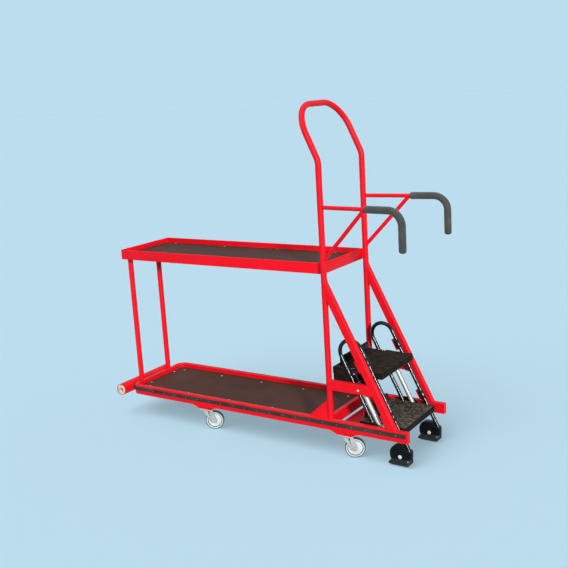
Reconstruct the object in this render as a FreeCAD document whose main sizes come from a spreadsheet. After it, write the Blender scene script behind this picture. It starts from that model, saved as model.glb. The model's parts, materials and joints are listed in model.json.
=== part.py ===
import FreeCAD, Part
import math
import os

# A two-deck picking trolley with a pair of sprung steps at one end.
# X runs along the trolley towards the steps, Y across it, Z up from the floor.

DIMENSIONS = (
    ("post_d", 27, "outer diameter of posts and push hoop"),
    ("tube_wall", 2, "wall of every steel tube"),
    ("tube_round", 3, "corner radius of the rectangular tubes"),
    ("post_cap_t", 3, "plate that closes the top of each left post"),
    ("post_x", 436, "right posts, from the middle of the trolley"),
    ("post_y", 194.5, "right posts, from the centre line"),
    ("left_post_x", -788, "left posts"),
    ("left_post_y", 108, "left posts, from the centre line"),
    ("deck_half_w", 208, "outer face of the deck side rails"),
    ("rail_w", 25, "width of rails, stringers and tie bars"),
    ("rail_h", 50, "height of rails and shelf rims"),
    ("rail_z", 130, "underside of the deck rails"),
    ("rail_right", 818, "step end of the deck side rails"),
    ("front_x", -774.5, "outer face of the deck front rail and shelf end"),
    ("corner_r", 50, "outer radius of the deck front corners"),
    ("end_rail_x", 424, "outer face of the rail that ends the deck"),
    ("board_t", 15, "thickness of both boards"),
    ("board_gap", 0.5, "gap around each board"),
    ("bearer_w", 30, "width of the cross bearers"),
    ("deck_bearer_h", 15, "height of the deck bearers"),
    ("shelf_bearer_h", 10, "height of the shelf bearers"),
    ("strip_h", 20, "height of the buffer strip"),
    ("strip_t", 6, "thickness of the buffer strip"),
    ("strip_z", 153, "underside of the buffer strip"),
    ("strip_pitch", 72.8, "spacing of the strip screws"),
    ("shelf_half_w", 183.5, "outer face of the shelf side rims"),
    ("rim_t", 5, "thickness of the shelf rims"),
    ("shelf_z", 845, "underside of the shelf rims"),
    ("shelf_right", 427, "outer face of the shelf end rim by the posts"),
    ("hoop_split_z", 1290, "where the hoop meets the posts"),
    ("hoop_bend_z", 1341, "where the hoop starts to lean"),
    ("hoop_bend_r", 80, "radius of the lean bend"),
    ("hoop_lean", 24.8, "lean of the hoop, degrees"),
    ("hoop_leg", 261, "leaning length up to the hoop corner"),
    ("hoop_corner_r", 136, "radius of the hoop corners"),
    ("arm_d", 18, "diameter of arms and braces"),
    ("arm_z", 1142.5, "height of the arms"),
    ("arm_bend_r", 63, "radius of the arm bend"),
    ("grip_x", 837, "upright end of the grips"),
    ("grip_y", 232, "grips, from the centre line"),
    ("grip_d", 32, "diameter of the foam grips"),
    ("grip_end_z", 968.5, "lower end of the grips"),
    ("grip_start", 233, "foam start, along the arm from the post"),
    ("grip_round_r", 11, "rounding of the grip ends"),
    ("brace_reach", 226, "where the brace meets the arm, from the post"),
    ("brace_foot_z", 905, "where the brace meets the post"),
    ("incline", 63.5, "slope of stringers and ladder, degrees"),
    ("stringer_h", 35, "depth of the stringers"),
    ("stringer_x", 761, "front edge of the stringers at their low point"),
    ("stringer_z", 188, "height of that low point"),
    ("tie_bar_z", 321, "underside of the tie bars"),
    ("tie_bar_h", 45, "height of the tie bars"),
    ("tie_gusset_reach", 36, "reach of the gussets under the tie bars"),
    ("gusset_t", 6, "thickness of gussets"),
    ("post_gusset_run", 95, "length of the post gussets"),
    ("post_gusset_rise", 88, "height of the post gussets"),
    ("ladder_y", 154, "plane of each ladder hairpin"),
    ("ladder_d", 18, "diameter of the hairpin tube"),
    ("loop_x", 531, "centre of the hairpin loops"),
    ("loop_z", 493, "height of the loop centres"),
    ("loop_r", 55, "radius of the loops"),
    ("rear_leg_z", 160, "lower end of the rear legs"),
    ("front_leg_z", 72, "lower end of the front legs"),
    ("tread_half_w", 158, "half width of the treads"),
    ("upper_depth", 248.5, "depth of the upper tread"),
    ("lower_depth", 224, "depth of the lower tread"),
    ("tread_skirt", 30, "height of the tread skirts"),
    ("tread_sheet", 4, "thickness of the tread sheet"),
    ("tread_nose_r", 9, "rounding of the nosing"),
    ("tread_corner_r", 5, "rounding of the tread corners, seen from above"),
    ("tread_rear_x", 434.5, "rear edge of the upper tread"),
    ("tread_z", 416, "top of the upper tread"),
    ("tread_rise", 236.5, "rise between treads"),
    ("tread_run", 126.5, "lower tread ahead of the upper one"),
    ("cheek_y", 150, "middle of the side cheeks under the upper tread"),
    ("cheek_t", 4, "thickness of the side cheeks"),
    ("cheek_front_x", 622, "front edge of the side cheeks"),
    ("cheek_z", 345, "lower edge of the side cheeks"),
    ("upper_toe_half_w", 135, "half width of the upper toe plate"),
    ("lower_toe_half_w", 115, "half width of the lower toe plate"),
    ("toe_h", 43, "height of the toe plates"),
    ("toe_t", 4, "thickness of the toe plates"),
    ("upper_toe_inset", 27, "upper toe plate, from the rear edge of its tread"),
    ("lower_toe_inset", 5, "lower toe plate, from the rear edge of its tread"),
    ("guide_len", 56, "length of the guide bars"),
    ("guide_t", 9, "thickness of the guide bars"),
    ("guide_upper_z", 457, "middle of the upper guides"),
    ("guide_lower_z", 224, "middle of the lower guides"),
    ("guide_inner_y", 160, "inner end of the guide bars"),
    ("guide_outer_y", 205, "outer end of the guide bars"),
    ("collar_len", 40, "length of the guide collars"),
    ("collar_d", 22.8, "diameter of the guide collars"),
    ("collar_bore", 19.6, "bore that each front leg runs in"),
    ("collar_web_y", 163, "middle of the web behind each guide collar"),
    ("collar_web_t", 10, "thickness of that web"),
    ("spring_y", 166, "gas springs, from the centre line"),
    ("spring_x", 635, "axis of the gas springs at its datum height"),
    ("spring_z", 240, "datum height of the gas springs"),
    ("spring_d", 21, "diameter of the gas spring cylinders"),
    ("spring_low_z", 160, "lower end of the cylinders"),
    ("spring_high_z", 366, "upper end of the cylinders"),
    ("rod_d", 10, "diameter of the gas spring rods"),
    ("rod_bore", 10.1, "bore of the cylinders"),
    ("rod_low_z", 300, "lower end of the rods inside the cylinders"),
    ("lug_z", 402, "middle of the lugs that hold the rods to the upper tread"),
    ("lug_len", 30, "length of the lugs"),
    ("lug_h", 22, "height of the lugs"),
    ("lug_side", 6, "lugs beyond the middle of the rods"),
    ("bracket_t", 5, "thickness of the spring brackets"),
    ("foot_x", 763, "pivot of the feet"),
    ("foot_z", 48, "height of the foot pivots"),
    ("foot_w", 36, "width of the feet"),
    ("foot_round", 12, "rounding of the feet, seen from above"),
    ("foot_clear", 7, "feet above the floor with the ladder raised"),
    ("foot_seam", 3.6, "gap between housing and shoe"),
    ("foot_bolt_d", 10, "diameter of the foot bolts"),
    ("foot_bore", 10.1, "bore in the shoe for its bolt"),
    ("tongue_w", 18, "width of the shoe tongue"),
    ("slot_w", 19, "width of the slot above the shoe"),
    ("castor_front_x", -296, "swivel axis of the front castors"),
    ("castor_rear_x", 505, "swivel axis of the rear castors"),
    ("castor_y", 171, "swivel axes, from the centre line"),
    ("castor_turn", 28, "how far the castors are swung round, degrees"),
    ("castor_trail", 32, "wheel axle behind the swivel axis"),
    ("wheel_r", 46, "castor wheel radius"),
    ("wheel_w", 24, "width of the tyre"),
    ("hub_w", 28, "length of the wheel hubs"),
    ("tyre_t", 4, "thickness of the tyre"),
    ("castor_top", 115, "top of the castor plates"),
    ("castor_plate_t", 5, "thickness of the castor plates"),
    ("castor_plate_l", 54, "length of the castor plates"),
    ("castor_plate_w", 72, "width of the castor plates"),
    ("race_r", 23, "radius of the swivel races"),
    ("crown_r", 28, "radius of the fork crowns"),
    ("fork_sheet", 3, "thickness of the fork cheeks"),
    ("fork_gap", 14.4, "inner face of each fork cheek, from the wheel"),
    ("axle_d", 12, "castor axle and king pin diameter"),
    ("axle_bore", 12.2, "bore of wheel hubs and fork crowns"),
    ("channel_front_x", -288, "middle of the front castor channel"),
    ("channel_rear_x", 507, "middle of the rear castor channel"),
    ("channel_top_w", 140, "castor channel width under the rails"),
    ("channel_low_w", 70, "castor channel width at its flat"),
    ("bumper_x", -823, "axis of the front bumper tube"),
    ("bumper_z", 150, "height of the bumper tube"),
    ("bumper_d", 60, "diameter of the bumper tube"),
    ("bumper_wall", 3, "wall of the bumper tube"),
    ("bumper_near_y", -235, "near end of the bumper tube"),
    ("bumper_far_y", 140, "far end of the bumper tube"),
    ("plug_t", 12, "thickness of the bumper plugs"),
    ("plug_hole_d", 20, "hole in the bumper plugs"),
    ("screw_head_d", 11, "head diameter of board screws"),
    ("screw_head_h", 1.5, "head height of screws, sunk flush in the boards"),
    ("strip_screw_d", 7, "head diameter of strip screws"),
    ("bolt_head_d", 11, "head diameter of frame bolts"),
    ("bolt_head_h", 4, "head height of every bolt"),
    ("foot_head_d", 16, "head diameter of the foot bolts"),
)

SIDES = (("near", -1), ("far", 1))
CASTORS = (
    ("front_near", "castor_front_x", -1),
    ("front_far", "castor_front_x", 1),
    ("rear_near", "castor_rear_x", -1),
    ("rear_far", "castor_rear_x", 1),
)

Vec = FreeCAD.Vector
X_AXIS = Vec(1, 0, 0)
Y_AXIS = Vec(0, 1, 0)
Z_AXIS = Vec(0, 0, 1)
LONG = 3000

doc = FreeCAD.newDocument("step_trolley")
sheet = doc.addObject("Spreadsheet::Sheet", "Dims")
for row, (alias, value, note) in enumerate(DIMENSIONS, 1):
    sheet.set(f"A{row}", note)
    sheet.set(f"B{row}", str(value))
    sheet.setAlias(f"B{row}", alias)
doc.recompute()

nodes = {}


def dim(alias):
    return float(sheet.get(alias))


def place(x=0, y=0, z=0, axis=Z_AXIS, degrees=0):
    return FreeCAD.Placement(Vec(x, y, z), FreeCAD.Rotation(axis, degrees))


def node(label, feature):
    feature.Label = label
    nodes[label] = feature
    return feature


def group(label, features):
    compound = doc.addObject("Part::Compound", label)
    compound.Links = features
    return node(label, compound)


def cut(name, base, *tools):
    result = base
    for index, tool in enumerate(tools):
        step = doc.addObject("Part::Cut", f"{name}_cut_{index}")
        step.Base = result
        step.Tool = tool
        result = step
    return result


def fuse(name, *features):
    result = doc.addObject("Part::MultiFuse", f"{name}_fuse")
    result.Shapes = list(features)
    return result


def common(name, base, tool):
    result = doc.addObject("Part::Common", f"{name}_common")
    result.Base = base
    result.Tool = tool
    return result


def softened(name, bar, direction):
    """A bar with the edges that run along it rounded."""
    doc.recompute()
    radius = dim("tube_round")
    long_edges = [index + 1 for index, edge in enumerate(bar.Shape.Edges)
                  if isinstance(edge.Curve, Part.Line)
                  and abs(edge.Curve.Direction.dot(direction)) > 0.9999]
    soft = doc.addObject("Part::Fillet", f"{name}_soft")
    soft.Base = bar
    soft.Edges = [(index, radius, radius) for index in long_edges]
    return soft


# Rounded outlines and paths

def rounded_edges(points, radii, closed):
    count = len(points)
    last = count if closed else count - 1
    corners = []
    for index, (point, radius) in enumerate(zip(points, radii)):
        if radius == 0:
            corners.append((point, None, point))
            continue
        back = (points[index - 1] - point).normalize()
        ahead = (points[(index + 1) % count] - point).normalize()
        half = back.getAngle(ahead) / 2
        trim = radius / math.tan(half)
        inward = (back + ahead).normalize()
        middle = point + inward * (radius / math.sin(half) - radius)
        corners.append((point + back * trim, middle, point + ahead * trim))
    edges = []
    for index in range(count):
        start, middle, end = corners[index]
        if middle is not None:
            edges.append(Part.Arc(start, middle, end))
        if index < last:
            following = corners[(index + 1) % count][0]
            if end.distanceToPoint(following) > 1e-6:
                edges.append(Part.LineSegment(end, following))
    return edges


def outline(corners):
    points = [Vec(corner[0], corner[1], 0) for corner in corners]
    radii = [corner[2] if len(corner) > 2 else 0 for corner in corners]
    return rounded_edges(points, radii, True)


def prism(name, role, edges, length, symmetric):
    body = doc.addObject("PartDesign::Body", name)
    sketch = body.newObject("Sketcher::SketchObject", f"{name}_sketch")
    plane = next(item for item in body.Origin.OriginFeatures if item.Role == role)
    sketch.AttachmentSupport = [(plane, "")]
    sketch.MapMode = "FlatFace"
    sketch.addGeometry(edges, False)
    pad = body.newObject("PartDesign::Pad", f"{name}_pad")
    pad.Profile = sketch
    pad.setExpression("Length", length)
    pad.SideType = "Symmetric" if symmetric else "One side"
    return body


def side_plate(name, corners, thickness, y):
    """A plate whose outline is drawn in X and Z, centred on the given Y."""
    body = prism(name, "XZ_Plane", outline(corners), thickness, True)
    body.Placement = place(y=y)
    return body


def flat_plate(name, corners, thickness, z):
    """A plate whose outline is drawn in X and Y, standing on the given Z."""
    body = prism(name, "XY_Plane", outline(corners), thickness, False)
    body.Placement = place(z=z)
    return body


def box(name, x, y, z, length, width, height):
    """A block whose sizes are expressions of the sheet."""
    block = doc.addObject("Part::Box", name)
    block.setExpression("Length", length)
    block.setExpression("Width", width)
    block.setExpression("Height", height)
    block.Placement = place(x, y, z)
    return block


def rod(name, radius, height, placement):
    cylinder = doc.addObject("Part::Cylinder", name)
    cylinder.setExpression("Radius", radius)
    cylinder.setExpression("Height", height)
    cylinder.Placement = placement
    return cylinder


def hex_head(name, diameter, placement):
    head = doc.addObject("Part::Prism", name)
    head.Polygon = 6
    head.setExpression("Circumradius", f"{diameter} / 2")
    head.setExpression("Height", "Dims.bolt_head_h")
    head.Placement = placement
    return head


def tool_rod(name, radius, start, end):
    """A cylinder between two points, used to cut or to join."""
    along = end - start
    turn = FreeCAD.Rotation(Z_AXIS, along)
    cylinder = doc.addObject("Part::Cylinder", name)
    cylinder.setExpression("Radius", radius)
    cylinder.Height = along.Length
    cylinder.Placement = FreeCAD.Placement(start, turn)
    return cylinder


def straight_tube(name, outer, bore, start, end, cap=-1):
    """A tube between two points, its end open unless a cap thickness closes it."""
    skin = tool_rod(f"{name}_skin", outer, start, end)
    along = (end - start).normalize()
    core = tool_rod(f"{name}_core", bore, start - along, end - along * cap)
    return cut(name, skin, core)


def swept(name, spine, radius):
    """A round bar along a spine that leaves its first point upwards."""
    section = doc.addObject("Part::Circle", f"{name}_section")
    section.setExpression("Radius", radius)
    section.Placement = FreeCAD.Placement(spine.Shape.Vertexes[0].Point, FreeCAD.Rotation())
    sweep = doc.addObject("Part::Sweep", name)
    sweep.Sections = [section]
    sweep.Spine = (spine, [f"Edge{index + 1}" for index in range(len(spine.Shape.Edges))])
    sweep.Solid = True
    sweep.Frenet = False
    return sweep


def spine(name, points, radii):
    path = doc.addObject("Part::Feature", f"{name}_spine")
    edges = rounded_edges(points, [0] + radii + [0], False)
    path.Shape = Part.Wire([edge.toShape() for edge in edges])
    return path


# Values worked out from the driving dimensions

SLOPE = math.radians(dim("incline"))
DOWN = Vec(math.cos(SLOPE), 0, -math.sin(SLOPE))
OUT = Vec(math.sin(SLOPE), 0, math.cos(SLOPE))
RUN_PER_RISE = 1 / math.tan(SLOPE)
RAIL_MID_Y = dim("deck_half_w") - dim("rail_w") / 2
RAIL_INNER_Y = dim("deck_half_w") - dim("rail_w")
RAIL_TOP = dim("rail_z") + dim("rail_h")
DECK_TOP = dim("rail_z") + dim("deck_bearer_h") + dim("board_t")
SHELF_BOARD_Z = dim("shelf_z") + dim("shelf_bearer_h")
SHELF_TOP = SHELF_BOARD_Z + dim("board_t")
RIM_TOP = dim("shelf_z") + dim("rail_h")
POST_R = "Dims.post_d / 2"
POST_BORE = "Dims.post_d / 2 - Dims.tube_wall"


def slope_point(x, z, height):
    """The point at another height on the slope line through x and z."""
    return Vec(x + (z - height) * RUN_PER_RISE, 0, height)


def at_y(point, y):
    return Vec(point.x, y, point.z)


def post_tool(name, side):
    foot = Vec(dim("post_x"), side * dim("post_y"), 0)
    return tool_rod(name, POST_R, foot, foot + Z_AXIS * LONG)


# Lower deck

def deck_frame():
    half = dim("deck_half_w")
    front = dim("front_x")
    bend = dim("corner_r")
    wall = dim("tube_wall")
    straight_x = front + bend
    for name, side in SIDES:
        skin = box(f"deck_rail_{name}_skin", straight_x, side * RAIL_MID_Y - dim("rail_w") / 2,
                   dim("rail_z"), f"Dims.rail_right - ({straight_x})", "Dims.rail_w", "Dims.rail_h")
        core = box(f"deck_rail_{name}_core", straight_x - wall,
                   side * RAIL_MID_Y - dim("rail_w") / 2 + wall, dim("rail_z") + wall,
                   f"Dims.rail_right - ({straight_x}) + 2 * Dims.tube_wall",
                   "Dims.rail_w - 2 * Dims.tube_wall", "Dims.rail_h - 2 * Dims.tube_wall")
        skin = softened(f"deck_rail_{name}", skin, X_AXIS)
        node(f"deck_rail_{name}", cut(f"deck_rail_{name}", skin, core))
    path = spine("deck_front_rail", [
        Vec(straight_x, -RAIL_MID_Y, 0),
        Vec(front + dim("rail_w") / 2, -RAIL_MID_Y, 0),
        Vec(front + dim("rail_w") / 2, RAIL_MID_Y, 0),
        Vec(straight_x, RAIL_MID_Y, 0),
    ], [bend - dim("rail_w") / 2] * 2)
    shells = []
    for part, inset in (("skin", 0), ("core", wall)):
        wide = dim("rail_w") - inset
        high = dim("rail_h") - inset
        soft = dim("tube_round") - inset
        section = doc.addObject("Part::Feature", f"deck_front_rail_{part}_section")
        edges = outline([(inset, inset, soft), (wide, inset, soft), (wide, high, soft), (inset, high, soft)])
        section.Shape = Part.Wire([edge.toShape() for edge in edges])
        turn = FreeCAD.Rotation(Y_AXIS, Z_AXIS, X_AXIS, "ZXY")
        section.Placement = FreeCAD.Placement(Vec(straight_x, -half, 0), turn)
        sweep = doc.addObject("Part::Sweep", f"deck_front_rail_{part}")
        sweep.Sections = [section]
        sweep.Spine = (path, [f"Edge{index + 1}" for index in range(len(path.Shape.Edges))])
        sweep.Solid = True
        shells.append(sweep)
    front_rail = cut("deck_front_rail", *shells)
    front_rail.Placement = place(z=dim("rail_z"))
    node("deck_front_rail", front_rail)
    end_skin = box("deck_end_rail_skin", dim("end_rail_x") - dim("rail_w"), -RAIL_INNER_Y,
                   dim("rail_z"), "Dims.rail_w", f"2 * {RAIL_INNER_Y}", "Dims.rail_h")
    end_core = box("deck_end_rail_core", dim("end_rail_x") - dim("rail_w") + wall,
                   -RAIL_INNER_Y - wall, dim("rail_z") + wall, "Dims.rail_w - 2 * Dims.tube_wall",
                   f"2 * {RAIL_INNER_Y} + 2 * Dims.tube_wall", "Dims.rail_h - 2 * Dims.tube_wall")
    end_skin = softened("deck_end_rail", end_skin, Y_AXIS)
    node("deck_end_rail", cut("deck_end_rail", end_skin, end_core))
    caps = []
    for name, side in SIDES:
        cap = box(f"rail_end_cap_{name}", dim("rail_right"), side * RAIL_MID_Y - dim("rail_w") / 2,
                  dim("rail_z"), "Dims.tube_wall", "Dims.rail_w", "Dims.rail_h")
        caps.append(softened(f"rail_end_cap_{name}", cap, X_AXIS))
    group("rail_end_caps", caps)


def deck_floor():
    gap = dim("board_gap")
    half = RAIL_INNER_Y - gap
    left = dim("front_x") + dim("rail_w") + gap
    right = dim("end_rail_x") - dim("rail_w") - gap
    bend = dim("corner_r") - dim("rail_w") - gap
    corners = [(left, -half, bend), (right, -half), (right, half), (left, half, bend)]
    board_z = dim("rail_z") + dim("deck_bearer_h")
    spots = [(-700 + 259 * step, side * 142) for step in range(5) for _, side in SIDES]
    spots += [(-733, side * 95) for _, side in SIDES]
    screws = group("deck_screws", board_screws("deck_screw", spots, DECK_TOP))
    plain = flat_plate("deck_board_plain", corners, "Dims.board_t", board_z)
    node("deck_board", cut("deck_board", plain, screws))
    bearer_count = 4
    first = left + 2 * dim("bearer_w")
    pitch = (right - dim("bearer_w") - first) / (bearer_count - 1)
    bearers = [box(f"deck_bearer_{index}", first + index * pitch, -RAIL_INNER_Y, dim("rail_z"),
                   "Dims.bearer_w", f"2 * {RAIL_INNER_Y}", "Dims.deck_bearer_h")
               for index in range(bearer_count)]
    group("deck_bearers", bearers)


def board_screws(name, spots, board_top):
    seat = board_top - dim("screw_head_h")
    return [rod(f"{name}_{index}", "Dims.screw_head_d / 2", "Dims.screw_head_h", place(x, y, seat))
            for index, (x, y) in enumerate(spots)]


def buffer_strips():
    inner = dim("deck_half_w")
    outer = inner + dim("strip_t")
    bend = dim("corner_r")
    centre_x = dim("front_x") + bend
    end = dim("rail_right") - dim("rail_w") / 4
    wrap = math.radians(62)
    heads = []
    for name, side in SIDES:

        def around(radius, angle):
            return Vec(centre_x - radius * math.sin(angle),
                       side * (inner - bend + radius * math.cos(angle)), 0)

        outer_r = bend + dim("strip_t")
        edges = [
            Part.LineSegment(Vec(end, side * inner, 0), around(bend, 0)),
            Part.Arc(around(bend, 0), around(bend, wrap / 2), around(bend, wrap)),
            Part.LineSegment(around(bend, wrap), around(outer_r, wrap)),
            Part.Arc(around(outer_r, wrap), around(outer_r, wrap / 2), around(outer_r, 0)),
            Part.LineSegment(around(outer_r, 0), Vec(end, side * outer, 0)),
            Part.LineSegment(Vec(end, side * outer, 0), Vec(end, side * inner, 0)),
        ]
        strip = prism(f"buffer_strip_{name}", "XY_Plane", edges, "Dims.strip_h", False)
        strip.Placement = place(z=dim("strip_z"))
        node(f"buffer_strip_{name}", strip)
        for index in range(21):
            spot = place(-690 + index * dim("strip_pitch"), side * outer,
                         dim("strip_z") + dim("strip_h") / 2, X_AXIS, -90 * side)
            heads.append(rod(f"strip_screw_{name}_{index}", "Dims.strip_screw_d / 2",
                             "Dims.screw_head_h", spot))
    group("strip_screws", heads)


def bumper():
    start = Vec(dim("bumper_x"), dim("bumper_near_y"), dim("bumper_z"))
    end = Vec(dim("bumper_x"), dim("bumper_far_y"), dim("bumper_z"))
    bore = "Dims.bumper_d / 2 - Dims.bumper_wall"
    node("bumper_tube", straight_tube("bumper_tube", "Dims.bumper_d / 2", bore, start, end))
    plugs = []
    for name, spot, inward in (("near", start, Y_AXIS), ("far", end, -Y_AXIS)):
        inner = spot + inward * dim("plug_t")
        plugs.append(straight_tube(f"bumper_plug_{name}", bore, "Dims.plug_hole_d / 2", spot, inner))
    group("bumper_plugs", plugs)


# Posts, shelf and hoop

def posts():
    bumper_tool = tool_rod("bumper_tool", "Dims.bumper_d / 2",
                           Vec(dim("bumper_x"), -LONG, dim("bumper_z")),
                           Vec(dim("bumper_x"), LONG, dim("bumper_z")))
    for name, side in SIDES:
        foot = Vec(dim("left_post_x"), side * dim("left_post_y"), dim("bumper_z"))
        head = Vec(foot.x, foot.y, RIM_TOP - dim("rim_t"))
        left = straight_tube(f"left_post_{name}_plain", POST_R, POST_BORE, foot, head, dim("post_cap_t"))
        node(f"post_left_{name}", cut(f"post_left_{name}", left, bumper_tool))
        foot = Vec(dim("post_x"), side * dim("post_y"), RAIL_TOP)
        head = Vec(foot.x, foot.y, dim("hoop_split_z"))
        node(f"post_right_{name}", straight_tube(f"post_right_{name}", POST_R, POST_BORE, foot, head))


def push_hoop():
    lean = math.radians(dim("hoop_lean"))
    rise = dim("hoop_bend_z") - dim("hoop_split_z")
    reach = Vec(-math.sin(lean), 0, math.cos(lean)) * dim("hoop_leg")
    across = Vec(0, 2 * dim("post_y"), 0)
    near_foot = Vec(0, 0, 0)
    near_bend = Vec(0, 0, rise)
    near_corner = near_bend + reach
    path = spine("push_hoop", [
        near_foot,
        near_bend,
        near_corner,
        near_corner + across,
        near_bend + across,
        near_foot + across,
    ], [dim("hoop_bend_r"), dim("hoop_corner_r"), dim("hoop_corner_r"), dim("hoop_bend_r")])
    hoop = cut("push_hoop", swept("push_hoop_skin", path, POST_R),
               swept("push_hoop_core", path, POST_BORE))
    hoop.Placement = place(dim("post_x"), -dim("post_y"), dim("hoop_split_z"))
    node("push_hoop", hoop)


def shelf():
    half = dim("shelf_half_w")
    left = dim("front_x")
    right = dim("shelf_right")
    thick = dim("rim_t")
    inside = right - left - 2 * thick
    for name, side in SIDES:
        y = half - thick if side > 0 else -half
        rim = box(f"shelf_rim_{name}_plain", left + thick, y, dim("shelf_z"), f"{inside}",
                  "Dims.rim_t", "Dims.rail_h")
        node(f"shelf_rim_{name}", cut(f"shelf_rim_{name}", rim, post_tool(f"rim_post_{name}", side)))
    node("shelf_rim_left", box("shelf_rim_left", left, -half, dim("shelf_z"), "Dims.rim_t",
                               "2 * Dims.shelf_half_w", "Dims.rail_h"))
    end = box("shelf_rim_right_plain", right - thick, -half, dim("shelf_z"), "Dims.rim_t",
              "2 * Dims.shelf_half_w", "Dims.rail_h")
    tools = [post_tool(f"end_rim_post_{name}", side) for name, side in SIDES]
    node("shelf_rim_right", cut("shelf_rim_right", end, *tools))
    gap = dim("board_gap")
    board = [(left + thick + gap, -half + thick + gap), (right - thick - gap, -half + thick + gap),
             (right - thick - gap, half - thick - gap), (left + thick + gap, half - thick - gap)]
    plain = flat_plate("shelf_board_plain", board, "Dims.board_t", SHELF_BOARD_Z)
    notches = [post_tool(f"board_post_{name}", side) for name, side in SIDES]
    spots = [(-700 + 330 * step, side * 161) for step in range(4) for _, side in SIDES]
    screws = group("shelf_screws", board_screws("shelf_screw", spots, SHELF_TOP))
    node("shelf_board", cut("shelf_board", plain, *notches, screws))
    bearer_count = 4
    first = left + 2 * thick
    pitch = (right - dim("bearer_w") - 2 * thick - first) / (bearer_count - 1)
    bearers = [box(f"shelf_bearer_{index}", first + index * pitch, -half + thick, dim("shelf_z"),
                   "Dims.bearer_w", "2 * (Dims.shelf_half_w - Dims.rim_t)", "Dims.shelf_bearer_h")
               for index in range(bearer_count)]
    group("shelf_bearers", bearers)


# Arms with foam grips

def arm_points(along):
    """An arm drawn upwards from the post: along its run, then round the bend to the grip end."""
    drop = dim("arm_z") - dim("grip_end_z")
    return [Vec(0, 0, 0), Vec(0, 0, along), Vec(drop, 0, along)]


def arms():
    run = Vec(dim("grip_x") - dim("post_x"), dim("grip_y") - dim("post_y"), 0)
    splay = math.degrees(math.atan2(run.y, run.x))
    end_wall = dim("grip_d") / 4
    braces = []
    for name, side in SIDES:
        turn = FreeCAD.Rotation(Z_AXIS, side * splay) * FreeCAD.Rotation(Y_AXIS, 90)
        home = FreeCAD.Placement(Vec(dim("post_x"), side * dim("post_y"), dim("arm_z")), turn)
        full = arm_points(run.Length)
        short = [full[0], full[1], full[2] - X_AXIS * end_wall]
        path = spine(f"arm_{name}", short, [dim("arm_bend_r")])
        arm = cut(f"arm_{name}_tube", swept(f"arm_{name}_skin", path, "Dims.arm_d / 2"),
                  swept(f"arm_{name}_core", path, "Dims.arm_d / 2 - Dims.tube_wall"))
        arm.Placement = home
        coped = cut(f"arm_{name}", arm, post_tool(f"arm_post_{name}", side))
        node(f"arm_{name}", coped)
        begin = Vec(0, 0, dim("grip_start"))
        foam_path = spine(f"grip_{name}", [begin, full[1], full[2]], [dim("arm_bend_r")])
        foam = swept(f"grip_{name}_skin", foam_path, "Dims.grip_d / 2")
        doc.recompute()
        ends = [index + 1 for index, edge in enumerate(foam.Shape.Edges)
                if abs(edge.BoundBox.XLength) < 1e-3 and edge.CenterOfMass.x > dim("arm_bend_r")]
        soft = doc.addObject("Part::Fillet", f"grip_{name}_round")
        soft.Base = foam
        soft.Edges = [(index, dim("grip_round_r"), dim("grip_round_r")) for index in ends]
        bore = swept(f"grip_{name}_bore", path, "Dims.arm_d / 2")
        grip = cut(f"grip_{name}", soft, bore)
        grip.Placement = home
        node(f"grip_{name}", grip)
        low = Vec(dim("post_x"), side * dim("post_y"), dim("brace_foot_z"))
        high = home.multVec(Vec(0, 0, dim("brace_reach")))
        brace = straight_tube(f"brace_{name}_plain", "Dims.arm_d / 2",
                              "Dims.arm_d / 2 - Dims.tube_wall", low, high)
        arm_tool = tool_rod(f"brace_arm_{name}", "Dims.arm_d / 2", home.Base,
                            home.multVec(Vec(0, 0, run.Length)))
        braces.append(cut(f"brace_{name}", brace, post_tool(f"brace_post_{name}", side), arm_tool))
    group("braces", braces)


# Step end of the frame

def stringers():
    depth = dim("stringer_h") / math.sin(SLOPE)
    wall = dim("tube_wall") / math.sin(SLOPE)
    top_x = dim("post_x")

    def section(inset, reach):
        low = RAIL_TOP - reach
        front = slope_point(dim("stringer_x") - inset, dim("stringer_z"), low)
        rear = slope_point(dim("stringer_x") - depth + inset, dim("stringer_z"), low)
        high_x = top_x - reach
        front_rise = (front.x - high_x) / RUN_PER_RISE
        rear_rise = (rear.x - high_x) / RUN_PER_RISE
        return [(rear.x, low), (front.x, low), (high_x, low + front_rise), (high_x, low + rear_rise)]

    for name, side in SIDES:
        skin = side_plate(f"stringer_{name}_skin", section(0, 0), "Dims.rail_w", side * RAIL_MID_Y)
        core = side_plate(f"stringer_{name}_core", section(wall, 5),
                          "Dims.rail_w - 2 * Dims.tube_wall", side * RAIL_MID_Y)
        tube = cut(f"stringer_{name}_tube", softened(f"stringer_{name}", skin, DOWN), core)
        node(f"stringer_{name}", cut(f"stringer_{name}", tube, post_tool(f"stringer_post_{name}", side)))


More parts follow.
